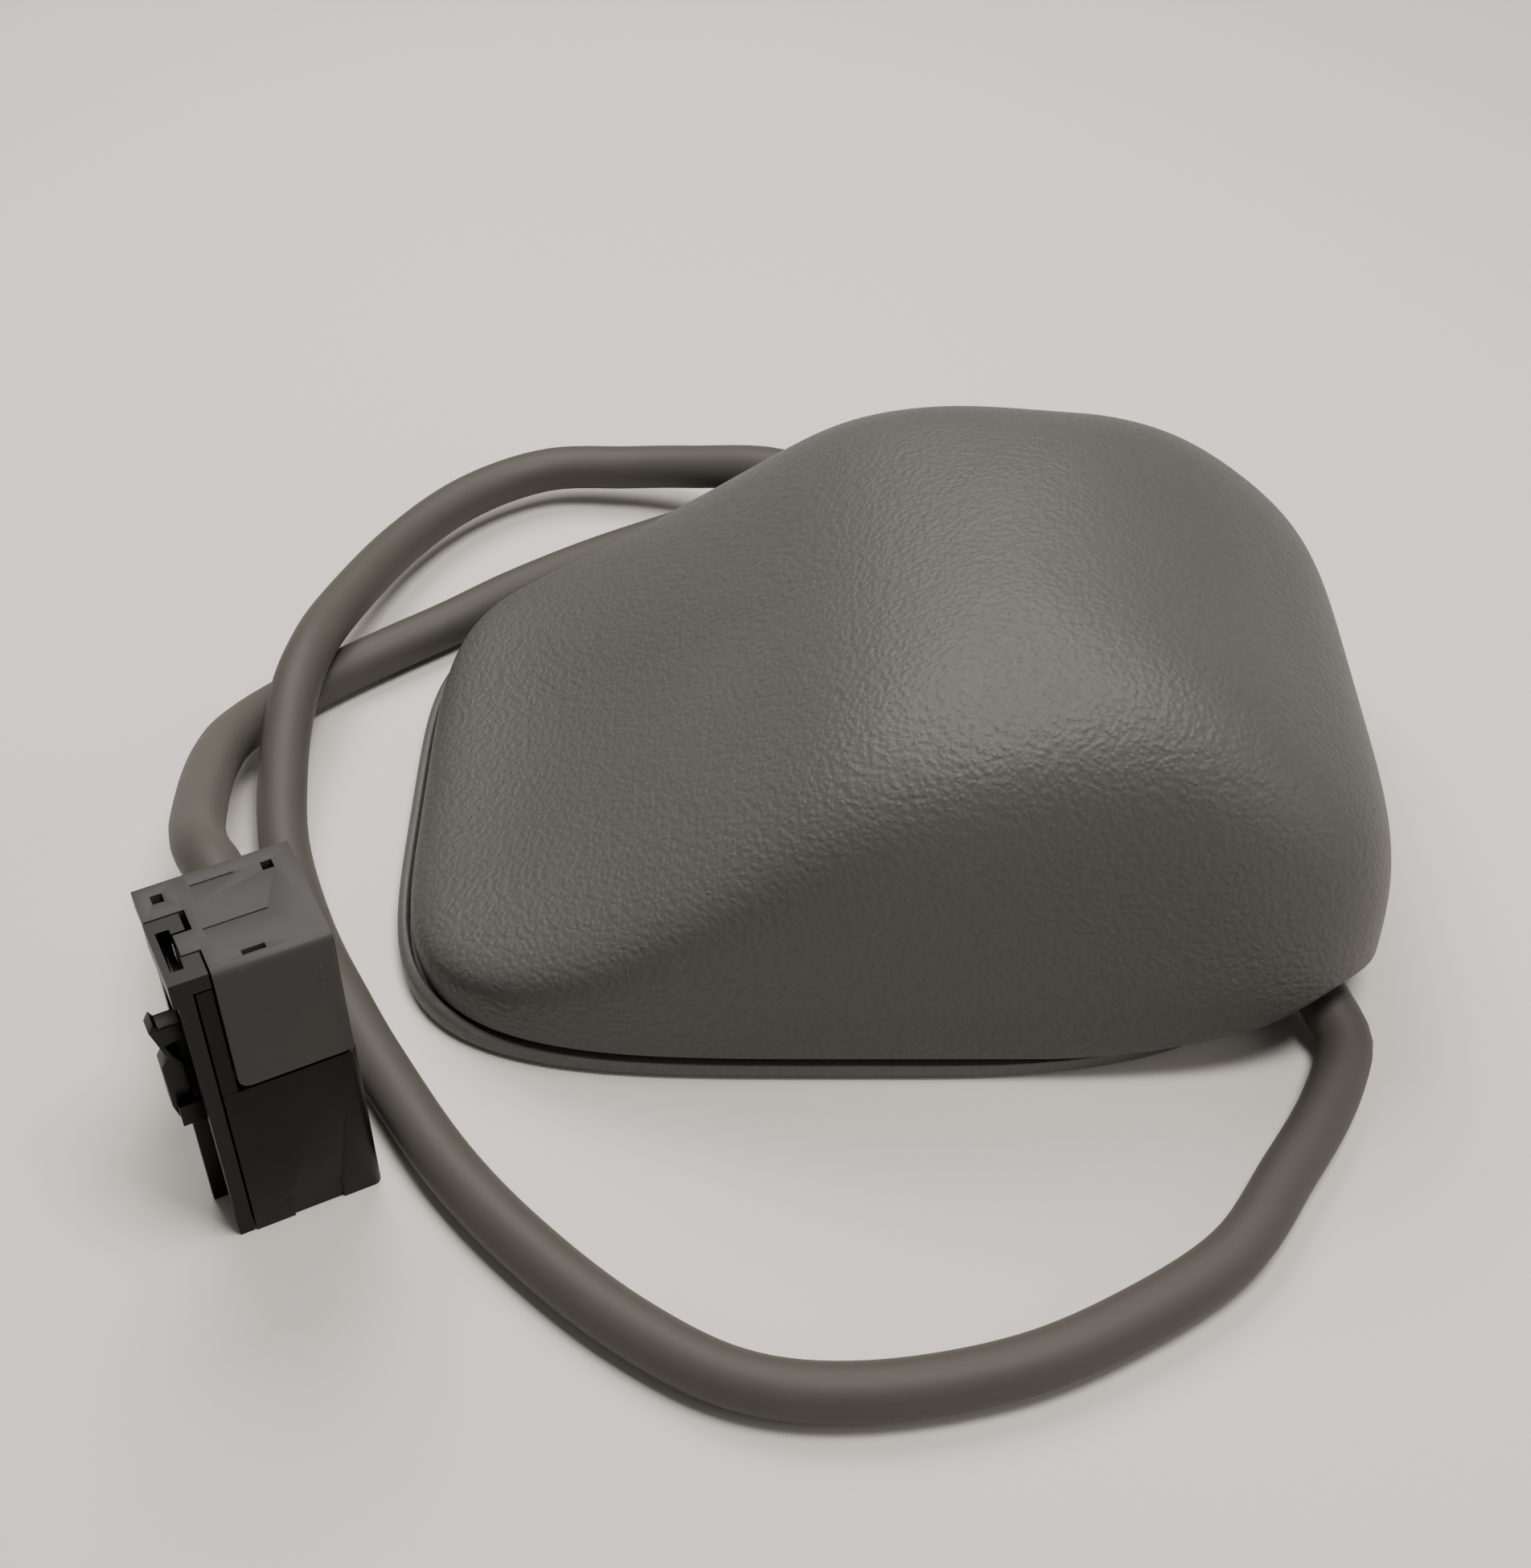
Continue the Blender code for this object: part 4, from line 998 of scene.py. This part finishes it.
class PEDAL_OT_plug_rail(bpy.types.Operator):
    """Add the plug's side plate with its coding ribs and top loop"""

    bl_idname = "pedal.plug_rail"
    bl_label = "Plug Side Plate"

    def execute(self, context):
        settings = context.scene.pedal_plug
        rail = block("plug_side_plate", (-1.3, 0.6, 0.0), (-0.3, 13.4, 48.6))
        for start, end, reach, top in RAIL_RIBS:
            add_block(rail, (-reach, start, 0.0), (-0.9, end, top))
        # Loop on top, the latch's ears and pin, and the loop's slot
        add_block(rail, (-3.0, 0.6, 47.5), (-0.3, 12.2, HOOD_TOP))
        add_block(rail, (-1.0, 0.6, 49.2), (2.1, 4.7, HOOD_TOP))
        add_block(rail, (-1.0, 9.1, 49.2), (1.6, 12.2, HOOD_TOP))
        for n in (3.5, 7.9):
            add_block(rail, (-5.4, n, 22.6), (-1.0, n + 1.0, 26.4))
        pin_low = LATCH_PIVOT - Vector((0, 2.2 * MM, 0))
        pin_high = LATCH_PIVOT + Vector((0, 2.2 * MM, 0))
        combine(rail, rod("pin", pin_low, pin_high, 0.6 * MM, 24), "UNION")
        cut_block(rail, (-2.0, 2.8, 47.4), (-0.2, 10.0, 53))
        soften(rail, 0.22, 2, 40)
        put(rail, plug_place())
        shade(rail)
        finish_piece(rail, "base", "plug_side_rail", moulded_plastic(
            "plug_rail_black", tinted(settings.housing_colour, 1.25), 0.38))
        return {"FINISHED"}


class PEDAL_OT_plug_hood(bpy.types.Operator):
    """Add the plug's grey hood"""

    bl_idname = "pedal.plug_hood"
    bl_label = "Plug Hood"

    def execute(self, context):
        settings = context.scene.pedal_plug
        hood = block("plug_cap", (2.4, 0.0, 29.9), (17.9, HOOD_DEPTH, HOOD_TOP))
        bevel_edges(hood, lambda a, b: max(a.z, b.z) < 31 and abs(a.y - b.y) > 5, 1.6, 6)
        bevel_edges(hood, lambda a, b: min(a.z, b.z) > 51 and max(a.y, b.y) < 1, 1.1, 4)
        bevel_edges(
            hood, lambda a, b: abs(a.z - b.z) > 5 and min(a.x, b.x) > 17 and max(a.y, b.y) < 1, 0.8, 4)
        # Shoulder, tongue and side on the loop's side, then the hollow inside
        add_block(hood, (-2.8, 12.5, 48.9), (4.0, HOOD_DEPTH, HOOD_TOP))
        add_block(hood, (-0.1, 5.0, 49.2), (4.0, 8.8, HOOD_TOP))
        add_block(hood, (0.3, 12.5, 34.6), (4.0, 18.4, 50))
        cut_block(hood, (3.9, 1.6, 20), (16.5, 16.8, 50.2))
        cut_block(hood, (-0.2, 1.8, 20), (16.6, 16.7, 34.3))
        collar_low = Vector((CABLE_A, HOOD_DEPTH - 1, CABLE_Z)) * MM
        collar_high = Vector((CABLE_A, HOOD_DEPTH + 4, CABLE_Z)) * MM
        combine(hood, rod("collar", collar_low, collar_high, COLLAR_RADIUS * MM, 48), "UNION")
        bore_low = Vector((CABLE_A, 10, CABLE_Z)) * MM
        bore_high = Vector((CABLE_A, HOOD_DEPTH + 6, CABLE_Z)) * MM
        combine(hood, rod("bore", bore_low, bore_high, 5.0 * MM, 48), "DIFFERENCE")
        # Pockets, slot, grooves and pips of the top and front
        for a, n in ((-0.1, 15.8), (14.2, 15.5)):
            cut_block(hood, (a - 0.75, n - 0.75, 49.5), (a + 0.75, n + 0.75, 53))
        cut_block(hood, (6.8, 1.75, 50.9), (9.8, 2.6, 53))
        cut_block(hood, (4.2, 16.0, 51.6), (9.9, 16.25, 53))
        cut_block(hood, (3.6, 8.0, 51.6), (11.9, 8.25, 53))
        for z in (46.8, 44.9, 43.9):
            add_block(hood, (15.3, -0.12, z), (15.7, 0.5, z + 0.4))
        soften(hood, 0.3, 3, 40)
        put(hood, plug_place())
        shade(hood)
        finish_piece(hood, "base", "plug_hood", moulded_plastic(
            "plug_hood_grey", settings.hood_colour, 0.44))
        return {"FINISHED"}


class PEDAL_OT_plug_latch(bpy.types.Operator):
    """Add the plug's latch finger"""

    bl_idname = "pedal.plug_latch"
    bl_label = "Plug Latch"

    def execute(self, context):
        settings = context.scene.pedal_plug
        curve = bpy.data.curves.new("latch_finger", "CURVE")
        curve.dimensions = "2D"
        curve.fill_mode = "BOTH"
        curve.extrude = 1.2 * MM
        curve.bevel_depth = 0.2 * MM
        curve.bevel_resolution = 2
        curve.offset = -0.2 * MM
        turns = [i * math.pi / 12 for i in range(24)]
        bore = [(LATCH_BORE * math.cos(turn), LATCH_BORE * math.sin(turn)) for turn in turns]
        for outline in (LATCH_OUTLINE, bore):
            spline = curve.splines.new("POLY")
            spline.points.add(len(outline) - 1)
            for point, (x, y) in zip(spline.points, outline):
                point.co = (x * MM, y * MM, 0, 1)
            spline.use_cyclic_u = True
        latch = bpy.data.objects.new("latch_finger", curve)
        context.collection.objects.link(latch)
        latch = outward(as_mesh(latch), 0.00001)
        turn = Matrix.Rotation(math.radians(90), 4, "X")
        put(latch, plug_place() @ Matrix.Translation(LATCH_PIVOT) @ turn)
        shade(latch)
        finish_piece(latch, "latch", "plug_latch", moulded_plastic(
            "plug_latch_black", tinted(settings.housing_colour, 1.6), 0.34))
        return {"FINISHED"}


class PEDAL_OT_cable_bush(bpy.types.Operator):
    """Add the rubber bush where the cord enters the plug"""

    bl_idname = "pedal.cable_bush"
    bl_label = "Cable Bush"

    def execute(self, context):
        bush = turned("cord_bush", (
            (3.4, 0.0), (4.6, 0.2), (4.6, 5.0), (4.9, 5.2), (4.9, 5.7), (4.5, 6.3), (4.1, 6.7)), 48)
        lay = Matrix.Rotation(math.radians(-90), 4, "X")
        start = Vector((CABLE_A, HOOD_DEPTH - 1.5, CABLE_Z)) * MM
        put(bush, plug_place() @ Matrix.Translation(start) @ lay)
        shade(bush)
        rubber = soft_rubber("bush_rubber", (0.05, 0.05, 0.048))
        finish_piece(bush, "base", "cable_bush", rubber)
        return {"FINISHED"}


# ---------------------------------------------------------------- carried-over pieces

class PEDAL_OT_toe_spring(bpy.types.Operator):
    """Add the return spring under the toe"""

    bl_idname = "pedal.toe_spring"
    bl_label = "Toe Spring"

    def execute(self, context):
        steps = SPRING_TURNS * 32
        line = []
        for i in range(steps + 1):
            angle = 2 * math.pi * SPRING_TURNS * i / steps
            height = SPRING_LOW + (SPRING_HIGH - SPRING_LOW) * i / steps
            across = SPRING_RADIUS * math.cos(angle)
            line.append(Vector((SPRING_X + across, SPRING_RADIUS * math.sin(angle), height)) * MM)
        coil = as_mesh(strand("toe_coil", line, SPRING_WIRE * MM, 4))
        wire = worked_metal("toe_spring_wire", (0.40, 0.40, 0.42), 0.26, (600, 600, 600))
        finish_piece(coil, "base", "toe_spring", wire)
        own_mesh(coil)
        return {"FINISHED"}


class PEDAL_OT_inner_finishes(bpy.types.Operator):
    """Give the mechanism inside its finishes"""

    bl_idname = "pedal.inner_finishes"
    bl_label = "Inner Finishes"

    def execute(self, context):
        rubber = soft_rubber("foot_rubber", (0.022, 0.022, 0.022))
        steel = worked_metal("turned_steel", (0.56, 0.56, 0.57), 0.30)
        wire = worked_metal("spring_wire", (0.40, 0.40, 0.42), 0.26, (600, 600, 600))
        can = worked_metal("capacitor_can", (0.62, 0.62, 0.60), 0.30)
        brass = worked_metal("contact_brass", (0.70, 0.50, 0.20), 0.26)
        dark = moulded_plastic("inner_black", (0.016, 0.016, 0.016), 0.48)
        acetal = moulded_plastic("gear_acetal", (0.74, 0.74, 0.71), 0.38)
        cream = moulded_plastic("header_cream", (0.70, 0.66, 0.55), 0.46)
        red = moulded_plastic("plunger_red", (0.50, 0.03, 0.03), 0.36)
        laminate = board_laminate("green_laminate", (0.02, 0.12, 0.05))
        groups = (
            (rubber, ("rubber_foot_1", "rubber_foot_2", "rubber_foot_3", "rubber_foot_4",
                      "toe_stop_front", "toe_stop_rear", "heel_stop_front", "heel_stop_rear")),
            (steel, ("pivot_pin", "board_screw_1", "board_screw_2", "board_screw_3", "board_screw_4")),
            (wire, ("heel_spring",)),
            (can, ("smoothing_capacitor",)),
            (brass, tuple(f"contact_{i}" for i in range(1, 7))),
            (dark, ("pin_cap_front", "pin_cap_rear", "controller_chip", "speed_sensor", "heel_switch",
                    "cord_clamp", "contact_carrier")),
            (acetal, ("drive_sector", "sensor_pinion")),
            (cream, ("header_socket",)),
            (red, ("heel_switch_plunger",)),
            (laminate, ("circuit_board",)),
        )
        for material, nodes in groups:
            for node in nodes:
                self.coat(node, material)
        for name, colour in LEADS.items():
            self.coat(f"lead_{name}", moulded_plastic(f"lead_sleeve_{name}", colour, 0.42))
        return {"FINISHED"}

    def coat(self, node, material):
        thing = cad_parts[node]
        for slot in thing.material_slots:
            slot.material = material


class PEDAL_OT_declare_cord(bpy.types.Operator):
    bl_idname = "pedal.declare_cord"
    bl_label = "Cord Facts"

    def execute(self, context):
        settings = context.scene.pedal_cord
        line, length = cord_line(settings.cord_points)
        pieces = [bpy.data.objects[name] for name in (
            "plug_body", "plug_side_plate", "plug_cap", "latch_finger", "cord_bush")]
        inner = ("contact_carrier", *(f"contact_{i}" for i in range(1, 7)))
        pieces += [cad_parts[name] for name in inner]
        return {"FINISHED"}


# ---------------------------------------------------------------- add-on

STEPS = (
    PEDAL_OT_stage, PEDAL_OT_cord, PEDAL_OT_tread_cover, PEDAL_OT_tread_ribs, PEDAL_OT_base_pan,
    PEDAL_OT_strain_relief, PEDAL_OT_plug_housing, PEDAL_OT_plug_rail, PEDAL_OT_plug_hood,
    PEDAL_OT_plug_latch, PEDAL_OT_cable_bush, PEDAL_OT_toe_spring, PEDAL_OT_inner_finishes,
    PEDAL_OT_declare_cord,
)


class PEDAL_PT_panel(bpy.types.Panel):
    """Settings and steps of the foot control"""

    bl_idname = "PEDAL_PT_panel"
    bl_label = "Foot Control"
    bl_space_type = "VIEW_3D"
    bl_region_type = "UI"
    bl_category = "Foot Control"

    def draw(self, context):
        scene = context.scene
        for group in (scene.pedal_stage, scene.pedal_shell, scene.pedal_cord, scene.pedal_plug):
            column = self.layout.column(align=True)
            for key in group.__annotations__:
                column.prop(group, key)
        for step in STEPS:
            self.layout.operator(step.bl_idname)


GROUPS = {
    "pedal_stage": PedalStageSettings,
    "pedal_shell": PedalShellSettings,
    "pedal_cord": PedalCordSettings,
    "pedal_plug": PedalPlugSettings,
}


def register():
    for name, group in GROUPS.items():
        bpy.utils.register_class(group)
        setattr(bpy.types.Scene, name, bpy.props.PointerProperty(type=group))
    for step in STEPS:
        bpy.utils.register_class(step)
    bpy.utils.register_class(PEDAL_PT_panel)


def unregister():
    bpy.utils.unregister_class(PEDAL_PT_panel)
    for step in reversed(STEPS):
        bpy.utils.unregister_class(step)
    for name, group in GROUPS.items():
        delattr(bpy.types.Scene, name)
        bpy.utils.unregister_class(group)


def main():
    register()
    for step in STEPS:
        family, action = step.bl_idname.split(".")
        getattr(getattr(bpy.ops, family), action)()


if __name__ == "__main__":
    main()
